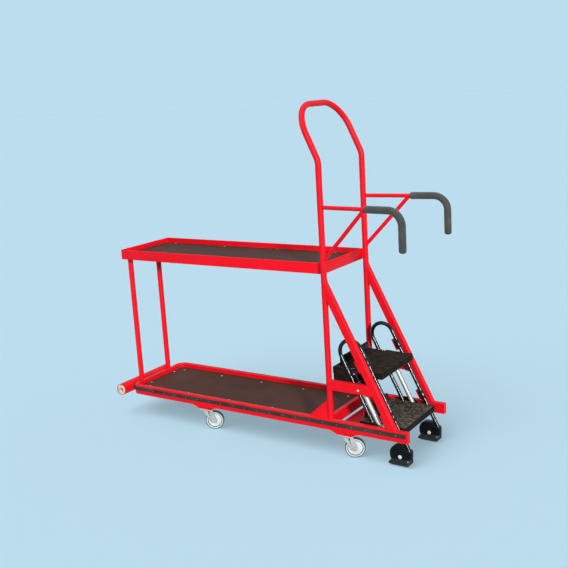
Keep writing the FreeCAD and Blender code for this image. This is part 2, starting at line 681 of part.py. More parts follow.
def tie_bars():
    depth = dim("stringer_h") / math.sin(SLOPE)
    rear_x = dim("stringer_x") - depth
    low = dim("tie_bar_z")
    high = low + dim("tie_bar_h")
    wall = dim("tube_wall")
    bars = []
    gussets = []
    bolts = []
    for name, side in SIDES:
        foot = slope_point(rear_x, dim("stringer_z"), low)
        head = slope_point(rear_x, dim("stringer_z"), high)
        profile = [(dim("post_x"), low), (foot.x, low), (head.x, high), (dim("post_x"), high)]
        skin = side_plate(f"tie_bar_{name}_skin", profile, "Dims.rail_w", side * RAIL_MID_Y)
        hollow = [(dim("post_x") - wall, low + wall), (foot.x + wall, low + wall),
                  (foot.x + wall, high - wall), (dim("post_x") - wall, high - wall)]
        core = side_plate(f"tie_bar_{name}_core", hollow, "Dims.rail_w - 2 * Dims.tube_wall",
                          side * RAIL_MID_Y)
        tube = cut(f"tie_bar_{name}_tube", softened(f"tie_bar_{name}", skin, X_AXIS), core)
        bars.append(cut(f"tie_bar_{name}", tube, post_tool(f"tie_post_{name}", side)))
        reach = dim("tie_gusset_reach")
        tip = slope_point(rear_x, dim("stringer_z"), low - reach)
        gussets.append(side_plate(f"tie_gusset_{name}", [
            (foot.x, low), (tip.x, tip.z), (tip.x - 4, tip.z + 4),
            (foot.x - 2, low - reach / 3, reach / 2), (foot.x - reach, low - 4), (foot.x - reach, low),
        ], "Dims.gusset_t", side * RAIL_MID_Y))
        heel_x = dim("post_x") - dim("post_d") / 2
        post_gusset = side_plate(f"post_gusset_{name}", [
            (heel_x - dim("post_gusset_run"), RAIL_TOP), (dim("post_x"), RAIL_TOP),
            (dim("post_x"), RAIL_TOP + dim("post_gusset_rise")),
            (heel_x, RAIL_TOP + dim("post_gusset_rise")),
            (heel_x - dim("post_gusset_run"), RAIL_TOP + dim("gusset_t")),
        ], "Dims.gusset_t", side * dim("post_y"))
        gussets.append(cut(f"post_gusset_{name}_coped", post_gusset, post_tool(f"gusset_post_{name}", side)))
        spot = place(588, side * dim("deck_half_w"), low + 19, X_AXIS, -90 * side)
        bolts.append(hex_head(f"tie_bolt_{name}", "Dims.bolt_head_d", spot))
    group("tie_bars", bars)
    group("frame_gussets", gussets)
    return bolts


def front_leg_line(height):
    loop = Vec(dim("loop_x"), 0, dim("loop_z"))
    start = loop + OUT * dim("loop_r")
    return slope_point(start.x, start.z, height)


def slope_block(name, centre, ahead, behind, half, width, y):
    """A block on the slope, reaching ahead of and behind a point on the leg."""
    front = centre + OUT * ahead
    rear = centre - OUT * behind
    corners = [rear - DOWN * half, rear + DOWN * half, front + DOWN * half, front - DOWN * half]
    return side_plate(name, [(corner.x, corner.z) for corner in corners], width, y)


def guides():
    face = Vec(dim("stringer_x"), 0, dim("stringer_z"))
    leg_depth = (face - front_leg_line(dim("stringer_z"))).dot(OUT)
    bar_front = dim("stringer_h") - leg_depth
    bar_y = (dim("guide_inner_y") + dim("guide_outer_y")) / 2
    bar_w = "Dims.guide_outer_y - Dims.guide_inner_y"
    half = dim("collar_len") / 2
    bars = []
    collars = []
    for name, side in SIDES:
        for level in ("upper", "lower"):
            centre = front_leg_line(dim(f"guide_{level}_z"))
            label = f"{name}_{level}"
            bars.append(slope_block(f"guide_bar_{label}", centre, -bar_front, bar_front + dim("guide_t"),
                                    dim("guide_len") / 2, bar_w, side * bar_y))
            axis = at_y(centre, side * dim("ladder_y"))
            sleeve = tool_rod(f"guide_sleeve_{label}", "Dims.collar_d / 2",
                              axis - DOWN * half, axis + DOWN * half)
            web = slope_block(f"guide_web_{label}", centre, 0, bar_front, half, "Dims.collar_web_t",
                              side * dim("collar_web_y"))
            bore = tool_rod(f"guide_bore_{label}", "Dims.collar_bore / 2",
                            axis - DOWN * 2 * half, axis + DOWN * 2 * half)
            collars.append(cut(f"guide_collar_{label}", fuse(f"guide_collar_{label}", sleeve, web), bore))
    group("guide_bars", bars)
    group("guide_collars", collars)


def spring_axis(height):
    return slope_point(dim("spring_x"), dim("spring_z"), height)


def gas_springs(tie_bolts):
    brackets = []
    cylinders = []
    rods = []
    bolts = list(tie_bolts)
    pin_d = dim("rod_d")
    for name, side in SIDES:
        y = side * dim("spring_y")
        low = at_y(spring_axis(dim("spring_low_z")), y)
        high = at_y(spring_axis(dim("spring_high_z")), y)
        skin = tool_rod(f"gas_cylinder_{name}_skin", "Dims.spring_d / 2", low, high)
        seat = at_y(spring_axis(dim("rod_low_z") - 12), y)
        core = tool_rod(f"gas_cylinder_{name}_core", "Dims.rod_bore / 2", seat, high - DOWN)
        body = cut(f"gas_cylinder_{name}_barrel", skin, core)
        face = side * (RAIL_INNER_Y - dim("bracket_t"))
        eye = low - DOWN * pin_d
        inner_end = at_y(eye, side * (dim("spring_y") - dim("spring_d") / 2 - 3))
        pin = tool_rod(f"gas_pin_{name}", "Dims.rod_d / 2", inner_end, at_y(eye, face))
        cylinders.append(fuse(f"gas_cylinder_{name}", body, pin))
        plate_y = side * (RAIL_INNER_Y - dim("bracket_t") / 2)
        corners = [(590, 158), (690, 158), (690, 176, 8), (656, 190, 10), (604, 190, 10), (590, 180)]
        brackets.append(side_plate(f"spring_bracket_{name}", corners, "Dims.bracket_t", plate_y))
        spot = place(610, face, 174, X_AXIS, 90 * side)
        bolts.append(hex_head(f"bracket_bolt_{name}", "Dims.bolt_head_d", spot))
        start = at_y(spring_axis(dim("rod_low_z")), y)
        end = at_y(spring_axis(dim("lug_z")), y)
        shaft = tool_rod(f"gas_rod_{name}_shaft", "Dims.rod_d / 2", start, end)
        lug_face = dim("spring_y") + dim("lug_side")
        lug = box(f"gas_rod_{name}_lug", end.x - dim("lug_len") / 2,
                  dim("tread_half_w") if side > 0 else -lug_face, end.z - dim("lug_h") / 2,
                  "Dims.lug_len", "Dims.spring_y + Dims.lug_side - Dims.tread_half_w", "Dims.lug_h")
        head = hex_head(f"gas_rod_{name}_head", "Dims.bolt_head_d",
                        place(end.x, side * lug_face, end.z, X_AXIS, -90 * side))
        rods.append(fuse(f"gas_rod_{name}", shaft, lug, head))
    group("spring_brackets", brackets)
    group("gas_cylinders", cylinders)
    group("gas_rods", rods)
    group("frame_bolts", bolts)


# Sliding ladder

def hairpins():
    loop = Vec(dim("loop_x"), 0, dim("loop_z"))
    front_len = (loop + OUT * dim("loop_r") - front_leg_line(dim("front_leg_z"))).Length
    rear_top = loop - OUT * dim("loop_r")
    rear_len = (rear_top.z - dim("rear_leg_z")) / math.sin(SLOPE)
    gap = 2 * dim("loop_r")
    for name, side in SIDES:
        path = doc.addObject("Part::Feature", f"hairpin_{name}_spine")
        path.Shape = Part.Wire([
            Part.LineSegment(Vec(0, 0, 0), Vec(0, 0, front_len)).toShape(),
            Part.Arc(Vec(0, 0, front_len), Vec(-gap / 2, 0, front_len + gap / 2),
                     Vec(-gap, 0, front_len)).toShape(),
            Part.LineSegment(Vec(-gap, 0, front_len), Vec(-gap, 0, front_len - rear_len)).toShape(),
        ])
        hairpin = cut(f"hairpin_{name}", swept(f"hairpin_{name}_skin", path, "Dims.ladder_d / 2"),
                      swept(f"hairpin_{name}_core", path, "Dims.ladder_d / 2 - Dims.tube_wall"))
        foot = front_leg_line(dim("front_leg_z"))
        hairpin.Placement = FreeCAD.Placement(at_y(foot, side * dim("ladder_y")),
                                              FreeCAD.Rotation(Y_AXIS, dim("incline") - 90))
        node(f"hairpin_{name}", hairpin)


def leg_tools(name):
    loop = Vec(dim("loop_x"), 0, dim("loop_z"))
    tools = []
    for side_name, side in SIDES:
        for leg, sign in (("front", 1), ("rear", -1)):
            top = loop + OUT * (sign * dim("loop_r"))
            end = slope_point(top.x, top.z, dim(f"{leg}_leg_z"))
            y = side * dim("ladder_y")
            tools.append(tool_rod(f"{name}_{side_name}_{leg}_leg", "Dims.ladder_d / 2",
                                  at_y(top, y), at_y(end, y)))
    return tools


def tread_plan(name, rear, depth, z, inset):
    """The outline of a tread from above, its corners rounded."""
    front = rear + depth - inset
    back = rear + inset
    half = dim("tread_half_w") - inset
    bend = dim("tread_corner_r") - inset
    corners = [(back, -half, bend), (front, -half, bend), (front, half, bend), (back, half, bend)]
    return flat_plate(name, corners, "2 * Dims.tread_skirt", z)


def side_cheeks(rear, top):
    """Plates that stiffen the upper tread and close its sides."""
    corners = [(rear + 1, top), (rear + 1, dim("cheek_z"), 6), (dim("cheek_front_x"), dim("cheek_z"), 6),
               (dim("cheek_front_x"), top)]
    return [side_plate(f"tread_cheek_{name}", corners, "Dims.cheek_t", side * dim("cheek_y"))
            for name, side in SIDES]


def treads():
    sheet_t = dim("tread_sheet")
    nose = dim("tread_nose_r")
    toes = []
    for name, level in (("upper", 0), ("lower", 1)):
        depth = dim(f"{name}_depth")
        rear = dim("tread_rear_x") + level * dim("tread_run")
        top = dim("tread_z") - level * dim("tread_rise")
        low = top - dim("tread_skirt")
        outer = side_plate(f"tread_{name}_outer", [
            (rear, low), (rear + depth, low), (rear + depth, top, nose), (rear, top, nose / 3),
        ], "2 * Dims.tread_half_w", 0)
        inner = side_plate(f"tread_{name}_inner", [
            (rear + sheet_t, low - sheet_t), (rear + depth - sheet_t, low - sheet_t),
            (rear + depth - sheet_t, top - sheet_t, nose - sheet_t), (rear + sheet_t, top - sheet_t),
        ], "2 * (Dims.tread_half_w - Dims.tread_sheet)", 0)
        skin = common(f"tread_{name}_skin", outer, tread_plan(f"tread_{name}_plan", rear, depth, low, 0))
        core = common(f"tread_{name}_core", inner,
                      tread_plan(f"tread_{name}_inner_plan", rear, depth, low - sheet_t, sheet_t))
        tray = cut(f"tread_{name}_tray", skin, core)
        tools = leg_tools(f"tread_{name}")
        if level == 0:
            tray = fuse(f"tread_{name}", tray, *side_cheeks(rear, top - sheet_t))
        else:
            for side_name, side in SIDES:
                slot_w = dim("tread_half_w") - dim("spring_y") + dim("spring_d") / 2 + 4
                y = dim("tread_half_w") - slot_w if side > 0 else -dim("tread_half_w") - sheet_t
                middle = spring_axis(low + dim("tread_skirt") / 2).x
                tools.append(box(f"spring_slot_{side_name}", middle - 30, y, low - sheet_t,
                                 "60", f"{slot_w + sheet_t}", "Dims.tread_skirt + 3 * Dims.tread_sheet"))
        node(f"tread_{name}", cut(f"tread_{name}", tray, *tools))
        half = dim(f"{name}_toe_half_w")
        toe = prism(f"toe_plate_{name}", "YZ_Plane", outline([
            (-half, top), (half, top), (half, top + dim("toe_h"), 12), (-half, top + dim("toe_h"), 12),
        ]), "Dims.toe_t", False)
        toe.Placement = place(x=rear + dim(f"{name}_toe_inset"))
        toes.append(toe)
    group("toe_plates", toes)


def foot_plan(name, left, right, y):
    """The outline of a foot from above, its corners rounded."""
    half = dim("foot_w") / 2
    bend = dim("foot_round")
    corners = [(left, y - half, bend), (right, y - half, bend),
               (right, y + half, bend), (left, y + half, bend)]
    return flat_plate(name, corners, "4 * Dims.foot_z", 0)


def feet():
    x = dim("foot_x")
    z = dim("foot_z")
    floor = dim("foot_clear")
    left_low = z - 13
    right_low = z - 5
    seam = dim("foot_seam")
    half_w = dim("foot_w") / 2
    housings = []
    bolts = []
    tools = leg_tools("foot")
    for index, (name, side) in enumerate(SIDES):
        y = side * dim("ladder_y")
        profile = side_plate(f"foot_housing_{name}_profile", [
            (x - 45, left_low, 5), (x - 54, z + 12, 24), (x - 36, z + 48, 24), (x + 14, z + 50, 12),
            (x + 28, z + 34, 8), (x + 52, z + 26, 9), (x + 52, right_low, 3),
        ], "Dims.foot_w", y)
        shell = common(f"foot_housing_{name}", profile, foot_plan(f"foot_plan_{name}", x - 54, x + 52, y))
        slot = side_plate(f"foot_slot_{name}", [
            (x - 24, left_low - 5), (x + 24, left_low - 5), (x + 24, z + 22, 10), (x - 24, z + 22, 10),
        ], "Dims.slot_w", y)
        left = Vec(x, y - half_w, z)
        right = Vec(x, y + half_w, z)
        hole = tool_rod(f"foot_hole_{name}", "Dims.foot_bolt_d / 2", left, right)
        housings.append(cut(f"foot_housing_{name}", shell, slot, hole, tools[2 * index]))
        shank = tool_rod(f"foot_shank_{name}", "Dims.foot_bolt_d / 2", left, right)
        heads = []
        for face, turn in ((left, 90), (right, -90)):
            spot = place(face.x, face.y, face.z, X_AXIS, turn)
            heads.append(hex_head(f"foot_head_{name}_{turn + 90}", "Dims.foot_head_d", spot))
        bolts.append(fuse(f"foot_bolt_{name}", shank, *heads))
        tread = side_plate(f"foot_tread_{name}", [
            (x - 62, floor + 4, 3), (x - 38, floor, 20), (x + 36, floor, 8), (x + 51, floor + 14, 6),
            (x + 51, right_low - seam), (x - 45, left_low - seam, 4),
        ], "Dims.foot_w", y)
        block = common(f"foot_block_{name}", tread, foot_plan(f"shoe_plan_{name}", x - 62, x + 51, y))
        tongue = side_plate(f"foot_tongue_{name}", [
            (x - 17, floor + 12), (x + 17, floor + 12), (x + 17, z + 17, 16.9), (x - 17, z + 17, 16.9),
        ], "Dims.tongue_w", y)
        bore = tool_rod(f"foot_bore_{name}", "Dims.foot_bore / 2", left, right)
        shoe = cut(f"foot_shoe_{name}", fuse(f"foot_shoe_{name}", block, tongue), bore)
        node(f"foot_shoe_{name}", shoe)
    group("foot_housings", housings)
    group("foot_bolts", bolts)


# Castors

def castor_channels():
    half_top = dim("channel_top_w") / 2
    half_low = dim("channel_low_w") / 2
    low = dim("castor_top")
    high = dim("rail_z")
    wall = dim("bumper_wall")
    flare = (half_top - half_low) / (high - low)
    inset = wall * math.hypot(1, flare)
    inner_low = half_low + flare * wall - inset
    inner_top = half_top - flare * wall - inset
    channels = []
    for name in ("front", "rear"):
        x = dim(f"channel_{name}_x")
        skin = side_plate(f"castor_channel_{name}_skin", [
            (x - half_top, high), (x - half_low, low), (x + half_low, low), (x + half_top, high),
        ], "2 * Dims.deck_half_w", 0)
        core = side_plate(f"castor_channel_{name}_core", [
            (x - inner_top, high - wall), (x - inner_low, low + wall),
            (x + inner_low, low + wall), (x + inner_top, high - wall),
        ], "2 * Dims.deck_half_w + 2 * Dims.bumper_wall", 0)
        channels.append(cut(f"castor_channel_{name}", skin, core))
    group("castor_channels", channels)


def wheel_body(name, corners):
    """A ring turned about the wheel axis from its half section, radius by width."""
    body = doc.addObject("PartDesign::Body", name)
    sketch = body.newObject("Sketcher::SketchObject", f"{name}_sketch")
    plane = next(item for item in body.Origin.OriginFeatures if item.Role == "XY_Plane")
    sketch.AttachmentSupport = [(plane, "")]
    sketch.MapMode = "FlatFace"
    sketch.addGeometry(outline(corners), False)
    turned = body.newObject("PartDesign::Revolution", f"{name}_turn")
    turned.Profile = sketch
    turned.ReferenceAxis = (sketch, ["V_Axis"])
    turned.Angle = 360
    return body


def fork_cheek(name, crown_z, home, end):
    """One side of a fork, with a slot pressed out ahead of the wheel's hub."""
    trail = dim("castor_trail")
    axle_z = dim("wheel_r")
    y = end * (dim("fork_gap") + dim("fork_sheet") / 2)
    plain = side_plate(f"fork_cheek_{name}", [
        (-24, crown_z + 2), (23, crown_z + 2), (trail + 13, axle_z + 7, 7),
        (trail + 13, axle_z - 13, 12), (trail - 13, axle_z - 13, 12),
    ], "Dims.fork_sheet", 0)
    slot = side_plate(f"fork_slot_{name}", [
        (2, crown_z - 5, 2.5), (8, crown_z - 5, 2.5), (16, axle_z + 8, 2.5), (10, axle_z + 8, 2.5),
    ], "3 * Dims.fork_sheet", 0)
    for body in (plain, slot):
        body.Placement = home * place(y=y)
    return cut(f"fork_cheek_{name}", plain, slot)


def castors():
    plate_z = dim("castor_top") - dim("castor_plate_t")
    race_z = plate_z - 3.7
    crown_z = race_z - 0.3 - 3.7
    nut_z = crown_z - 8
    sheet_t = dim("fork_sheet")
    wheel_r = dim("wheel_r")
    tyre_r = wheel_r - dim("tyre_t")
    half_w = dim("wheel_w") / 2
    half_hub = dim("hub_w") / 2
    trail = dim("castor_trail")
    bore = dim("axle_bore") / 2
    plates = []
    for name, x_alias, side in CASTORS:
        x = dim(x_alias)
        y = side * dim("castor_y")
        home = place(x, y, 0, Z_AXIS, dim("castor_turn"))
        plate = box(f"castor_plate_{name}", x - dim("castor_plate_l") / 2, y - dim("castor_plate_w") / 2,
                    plate_z, "Dims.castor_plate_l", "Dims.castor_plate_w", "Dims.castor_plate_t")
        race = rod(f"castor_race_{name}", "Dims.race_r", "3.7", place(x, y, race_z))
        pin = rod(f"king_pin_{name}", "Dims.axle_d / 2", f"{plate_z - nut_z}", place(x, y, nut_z))
        nut = rod(f"king_nut_{name}", "11", "7.7", place(x, y, nut_z))
        plates.append(fuse(f"castor_top_{name}", plate, race, pin, nut))
        crown = rod(f"fork_crown_{name}", "Dims.crown_r", "3.7", place(x, y, crown_z))
        cheeks = [fork_cheek(f"{name}_{label}", crown_z, home, end) for label, end in SIDES]
        web = side_plate(f"fork_web_{name}", [
            (-24, crown_z + 2), (-20, crown_z + 2), (-6, 80), (-10, 80),
        ], "2 * (Dims.fork_gap + Dims.fork_sheet)", 0)
        web.Placement = home
        shell = fuse(f"fork_{name}", crown, web, *cheeks)

        def on_axle(across):
            return home.multVec(Vec(trail, across, wheel_r))

        outer = dim("fork_gap") + sheet_t
        hole = tool_rod(f"fork_hole_{name}", "Dims.axle_d / 2", on_axle(-2 * outer), on_axle(2 * outer))
        pin_hole = rod(f"fork_pin_hole_{name}", "Dims.axle_bore / 2", "20", place(x, y, nut_z))
        fork = cut(f"fork_shell_{name}", shell, hole, pin_hole)
        axle = tool_rod(f"axle_bar_{name}", "Dims.axle_d / 2", on_axle(-outer), on_axle(outer))
        heads = [tool_rod(f"axle_head_{name}_{label}", "9", on_axle(end * outer), on_axle(end * (outer + 5)))
                 for label, end in SIDES]
        group(f"castor_fork_{name}", [fork, fuse(f"axle_{name}", axle, *heads)])
        centre = wheel_body(f"wheel_centre_{name}", [
            (bore, -half_hub), (14, -half_hub), (14, -8, 2), (32, -8, 3), (35, -half_w + 2),
            (tyre_r, -half_w + 2), (tyre_r, half_w - 2), (35, half_w - 2), (32, 8, 3), (14, 8, 2),
            (14, half_hub), (bore, half_hub),
        ])
        tyre = wheel_body(f"wheel_tyre_{name}", [
            (tyre_r, -half_w), (wheel_r, -half_w, 3), (wheel_r, half_w, 3), (tyre_r, half_w),
        ])
        for piece in (centre, tyre):
            piece.Placement = home * place(trail, 0, wheel_r)
        group(f"castor_wheel_{name}", [centre, tyre])
    group("castor_plates", plates)


deck_frame()
deck_floor()
buffer_strips()
bumper()
posts()
push_hoop()
shelf()
arms()
stringers()
guides()
gas_springs(tie_bars())
hairpins()
treads()
feet()
castor_channels()
castors()
doc.recompute()

for feature in doc.Objects:
    if "Invalid" in feature.State or "Error" in feature.State:
        raise RuntimeError(f"{feature.Name} failed: {feature.State}")
for label, feature in nodes.items():
    shape = feature.Shape
    if shape.isNull() or not shape.isValid():
        raise RuntimeError(f"{label} has no valid shape")

os.makedirs("parts", exist_ok=True)
for label, feature in nodes.items():
    feature.Shape.exportStep(f"parts/{label}.step")
    print(f"{label}: {len(feature.Shape.Solids)} solids, {feature.Shape.Volume / 1000:.1f} cm3")
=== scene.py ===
import json
import math

import bmesh
import bpy
from mathutils import Matrix, Vector, noise

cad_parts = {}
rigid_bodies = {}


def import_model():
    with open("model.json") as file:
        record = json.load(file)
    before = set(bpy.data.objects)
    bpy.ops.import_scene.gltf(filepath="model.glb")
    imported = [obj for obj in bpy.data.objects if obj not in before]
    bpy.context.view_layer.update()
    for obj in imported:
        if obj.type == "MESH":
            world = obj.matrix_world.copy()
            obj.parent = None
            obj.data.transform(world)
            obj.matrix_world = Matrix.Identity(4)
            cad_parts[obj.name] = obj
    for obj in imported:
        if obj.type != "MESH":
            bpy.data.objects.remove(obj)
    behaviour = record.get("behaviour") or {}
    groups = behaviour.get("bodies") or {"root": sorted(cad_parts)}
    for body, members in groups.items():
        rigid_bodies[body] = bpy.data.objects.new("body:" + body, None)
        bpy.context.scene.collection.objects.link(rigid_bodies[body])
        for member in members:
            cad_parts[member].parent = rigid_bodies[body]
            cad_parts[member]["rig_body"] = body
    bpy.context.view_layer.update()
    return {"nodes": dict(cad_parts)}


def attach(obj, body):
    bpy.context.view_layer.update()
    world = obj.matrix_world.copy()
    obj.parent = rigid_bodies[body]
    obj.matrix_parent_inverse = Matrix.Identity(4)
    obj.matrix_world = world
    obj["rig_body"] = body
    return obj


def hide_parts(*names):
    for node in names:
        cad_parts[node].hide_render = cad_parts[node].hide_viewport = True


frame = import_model()

# Places and sizes in millimetres, in the frame of the CAD model

MM = 0.001
UP = Vector((0, 0, 1))
SIDES = (("near", -1), ("far", 1))
CASTORS = (("front_near", -296, -1), ("front_far", -296, 1), ("rear_near", 505, -1), ("rear_far", 505, 1))

POST_X, POST_Y, POST_R = 436, 194.5, 13.5
LEFT_POST_X, LEFT_POST_Y = -788, 108
FRONT_X = -774.5
RAIL_INNER, RAIL_OUTER, RAIL_MID = 183, 208, 195.5
RAIL_TOP, DECK_TOP, SHELF_TOP = 180, 160, 870
SHELF_LOW, SHELF_HIGH, SHELF_HALF = 845, 895, 183.5
BUMPER_X, BUMPER_Z, BUMPER_R = -823, 150, 30
ARM_Z, ARM_R, ARM_BEND = 1142.5, 9, 63
GRIP_X, GRIP_Y, GRIP_R, GRIP_END_Z, GRIP_START = 837, 232, 16, 968.5, 233
BRACE_FOOT_Z, BRACE_REACH = 905, 226
TIE_LOW, TIE_HIGH = 321, 366
LEG_Y, LOOP_R = 154, 55
LOOP = Vector((531, 0, 493))
TREADS = ((416, 461.5, 135), (179.5, 566, 115))
TOE_T = 4
FOOT_X, FOOT_Z, FOOT_HALF = 763, 48, 18
SPRING_X, SPRING_Z, SPRING_Y, SPRING_HIGH = 635, 240, 166, 366
LUG_Z, LUG_HEAD, BRACKET_FACE = 402, 176, 178
CASTOR_Y, TRAIL, WHEEL_R, CASTOR_TURN = 171, 32, 46, math.radians(28)
CHANNELS, CHANNEL_HALF = (-288, 507), 70
GUIDE_LEVELS, GUIDE_HALF = (457, 224), 28

STRINGER_X, STRINGER_Z, STRINGER_DEPTH = 761, 188, 35
SLOPE = math.radians(63.5)
RUN = 1 / math.tan(SLOPE)
DOWN = Vector((math.cos(SLOPE), 0, -math.sin(SLOPE)))
OUT = Vector((math.sin(SLOPE), 0, math.cos(SLOPE)))


def stringer_front(z):
    """X of the stringers' front face at a height."""
    return STRINGER_X + (STRINGER_Z - z) * RUN


def stringer_rear(z):
    return stringer_front(z) - STRINGER_DEPTH / math.sin(SLOPE)


def stringer_top(x):
    """Z of the stringers' front face over a point on X."""
    return STRINGER_Z + (STRINGER_X - x) / RUN


def stringer_underside(x):
    return stringer_top(x + STRINGER_DEPTH / math.sin(SLOPE))


def away(azimuth, height):
    """The unit vector towards a lamp or camera, from its angles in degrees."""
    across, up = math.radians(azimuth), math.radians(height)
    return Vector((math.sin(across) * math.cos(up), -math.cos(across) * math.cos(up), math.sin(up)))


def leg_point(sign, z):
    """A point on the line of a front (1) or rear (-1) ladder leg."""
    top = LOOP + OUT * (sign * LOOP_R)
    return Vector((top.x + (top.z - z) * RUN, 0, z))


def spring_point(z):
    """A point on the line of the gas springs."""
    return Vector((SPRING_X + (SPRING_Z - z) * RUN, 0, z))


def stringer_point(point):
    """The spot on the stringers' rear face that lies square behind or ahead of a point."""
    return point + OUT * (Vector((stringer_rear(STRINGER_Z), 0, STRINGER_Z)) - point).dot(OUT)


# Short ways to build node trees

def plug(tree, socket, value):
    if isinstance(value, bpy.types.NodeSocket):
        tree.links.new(value, socket)
    else:
        socket.default_value = value


def add(tree, kind, inputs=None, **settings):
    """Adds a node, sets its options, and fills its inputs with values or links."""
    made = tree.nodes.new(kind)
    for key, value in settings.items():
        setattr(made, key, value)
    for key, value in (inputs or {}).items():
        plug(tree, made.inputs[key], value)
    return made


def maths(tree, operation, first, second=0.0):
    return add(tree, "ShaderNodeMath", {0: first, 1: second}, operation=operation).outputs[0]


def fit(tree, value, low, high, to_low=0.0, to_high=1.0):
    ends = {"Value": value, "From Min": low, "From Max": high, "To Min": to_low, "To Max": to_high}
    return add(tree, "ShaderNodeMapRange", ends).outputs[0]


def blend(tree, factor, first, second):
    return add(tree, "ShaderNodeMix", {0: factor, 6: first, 7: second}, data_type="RGBA").outputs[2]


def surface_point(tree):
    return add(tree, "ShaderNodeTexCoord").outputs["Object"]


def scaled(tree, point, scale, turn=(0, 0, 0)):
    return add(tree, "ShaderNodeMapping", {"Vector": point, "Scale": scale, "Rotation": turn}).outputs[0]


def mottle(tree, point, scale, detail=4.0, roughness=0.55, distortion=0.0):
    values = {"Vector": point, "Scale": scale, "Detail": detail, "Roughness": roughness,
              "Distortion": distortion}
    return add(tree, "ShaderNodeTexNoise", values).outputs[0]


def cells(tree, point, scale, feature="F1"):
    return add(tree, "ShaderNodeTexVoronoi", {"Vector": point, "Scale": scale}, feature=feature).outputs[0]


def upward(tree):
    normal = add(tree, "ShaderNodeNewGeometry").outputs["Normal"]
    return add(tree, "ShaderNodeSeparateXYZ", {0: normal}).outputs[2]


# Effects that several finishes share

def shader_group(name, inputs, outputs):
    tree = bpy.data.node_groups.new(name, "ShaderNodeTree")
    for label, default in inputs.items():
        kind = "NodeSocketVector" if isinstance(default, tuple) else "NodeSocketFloat"
        tree.interface.new_socket(label, in_out="INPUT", socket_type=kind).default_value = default
    for label in outputs:
        tree.interface.new_socket(label, in_out="OUTPUT", socket_type="NodeSocketFloat")
    return tree, add(tree, "NodeGroupInput").outputs, add(tree, "NodeGroupOutput").inputs


def settled_dust():
    """Pale dust on whatever faces upwards, in patches."""
    tree, given, result = shader_group("settled_dust", {"Amount": 0.3, "Patch Scale": 9.0}, ["Mask"])
    level = fit(tree, upward(tree), 0.4, 0.95)
    patches = fit(tree, mottle(tree, surface_point(tree), given["Patch Scale"], 7.0, 0.62), 0.3, 0.75)
    both = maths(tree, "MULTIPLY", level, patches)
    plug(tree, result["Mask"], maths(tree, "MULTIPLY", both, given["Amount"]))
    return tree


def edge_wear():
    """Broken lines along the edges, where a finish is knocked off."""
    tree, given, result = shader_group(
        "edge_wear", {"Width": 0.002, "Amount": 0.8, "Patch Scale": 45.0}, ["Mask"])
    rounded = add(tree, "ShaderNodeBevel", {"Radius": given["Width"]}, samples=4).outputs[0]
    plain = add(tree, "ShaderNodeNewGeometry").outputs["Normal"]
    agree = add(tree, "ShaderNodeVectorMath", {0: rounded, 1: plain}, operation="DOT_PRODUCT")
    edge = fit(tree, agree.outputs["Value"], 0.985, 0.90)
    point = surface_point(tree)
    broken = fit(tree, mottle(tree, point, given["Patch Scale"], 6.0, 0.65), 0.54, 0.62)
    rare = fit(tree, mottle(tree, point, 5.0, 2.0), 0.42, 0.62)
    both = maths(tree, "MULTIPLY", maths(tree, "MULTIPLY", edge, broken), rare)
    plug(tree, result["Mask"], maths(tree, "MULTIPLY", both, given["Amount"]))
    return tree


def scuff_marks():
    """Fine drawn-out rub marks, gathered in a few places."""
    tree, given, result = shader_group(
        "scuff_marks", {"Stretch": (1.0, 1.0, 1.0), "Scale": 30.0, "Amount": 0.5}, ["Mask"])
    point = surface_point(tree)
    drawn = scaled(tree, point, given["Stretch"], (0.11, 0.07, 0.13))
    streaks = fit(tree, mottle(tree, drawn, given["Scale"], 9.0, 0.7, 0.3), 0.60, 0.72)
    places = fit(tree, mottle(tree, point, 6.0, 3.0), 0.45, 0.65)
    both = maths(tree, "MULTIPLY", streaks, places)
    plug(tree, result["Mask"], maths(tree, "MULTIPLY", both, given["Amount"]))
    return tree


def floor_grime():
    """Dirt picked up near the floor, thinning out upwards."""
    tree, given, result = shader_group("floor_grime", {"Reach": 0.12, "Amount": 0.5}, ["Mask"])
    point = surface_point(tree)
    height = add(tree, "ShaderNodeSeparateXYZ", {0: point}).outputs[2]
    low = fit(tree, maths(tree, "DIVIDE", height, given["Reach"]), 1.0, 0.0)
    patches = fit(tree, mottle(tree, point, 38.0, 7.0, 0.65), 0.32, 0.68)
    both = maths(tree, "MULTIPLY", low, patches)
    plug(tree, result["Mask"], maths(tree, "MULTIPLY", both, given["Amount"]))
    return tree


def sprayed_skin():
    """The slightly wavy skin of sprayed or dipped enamel."""
    tree, given, result = shader_group("sprayed_skin", {"Scale": 420.0}, ["Height"])
    point = surface_point(tree)
    peel = mottle(tree, point, given["Scale"], 2.0, 0.5)
    sag = mottle(tree, point, 36.0, 2.0, 0.4)
    plug(tree, result["Height"], maths(tree, "ADD", maths(tree, "MULTIPLY", peel, 0.5), sag))
    return tree


DUST = settled_dust()
WEAR = edge_wear()
SCUFFS = scuff_marks()
GRIME = floor_grime()
SKIN = sprayed_skin()


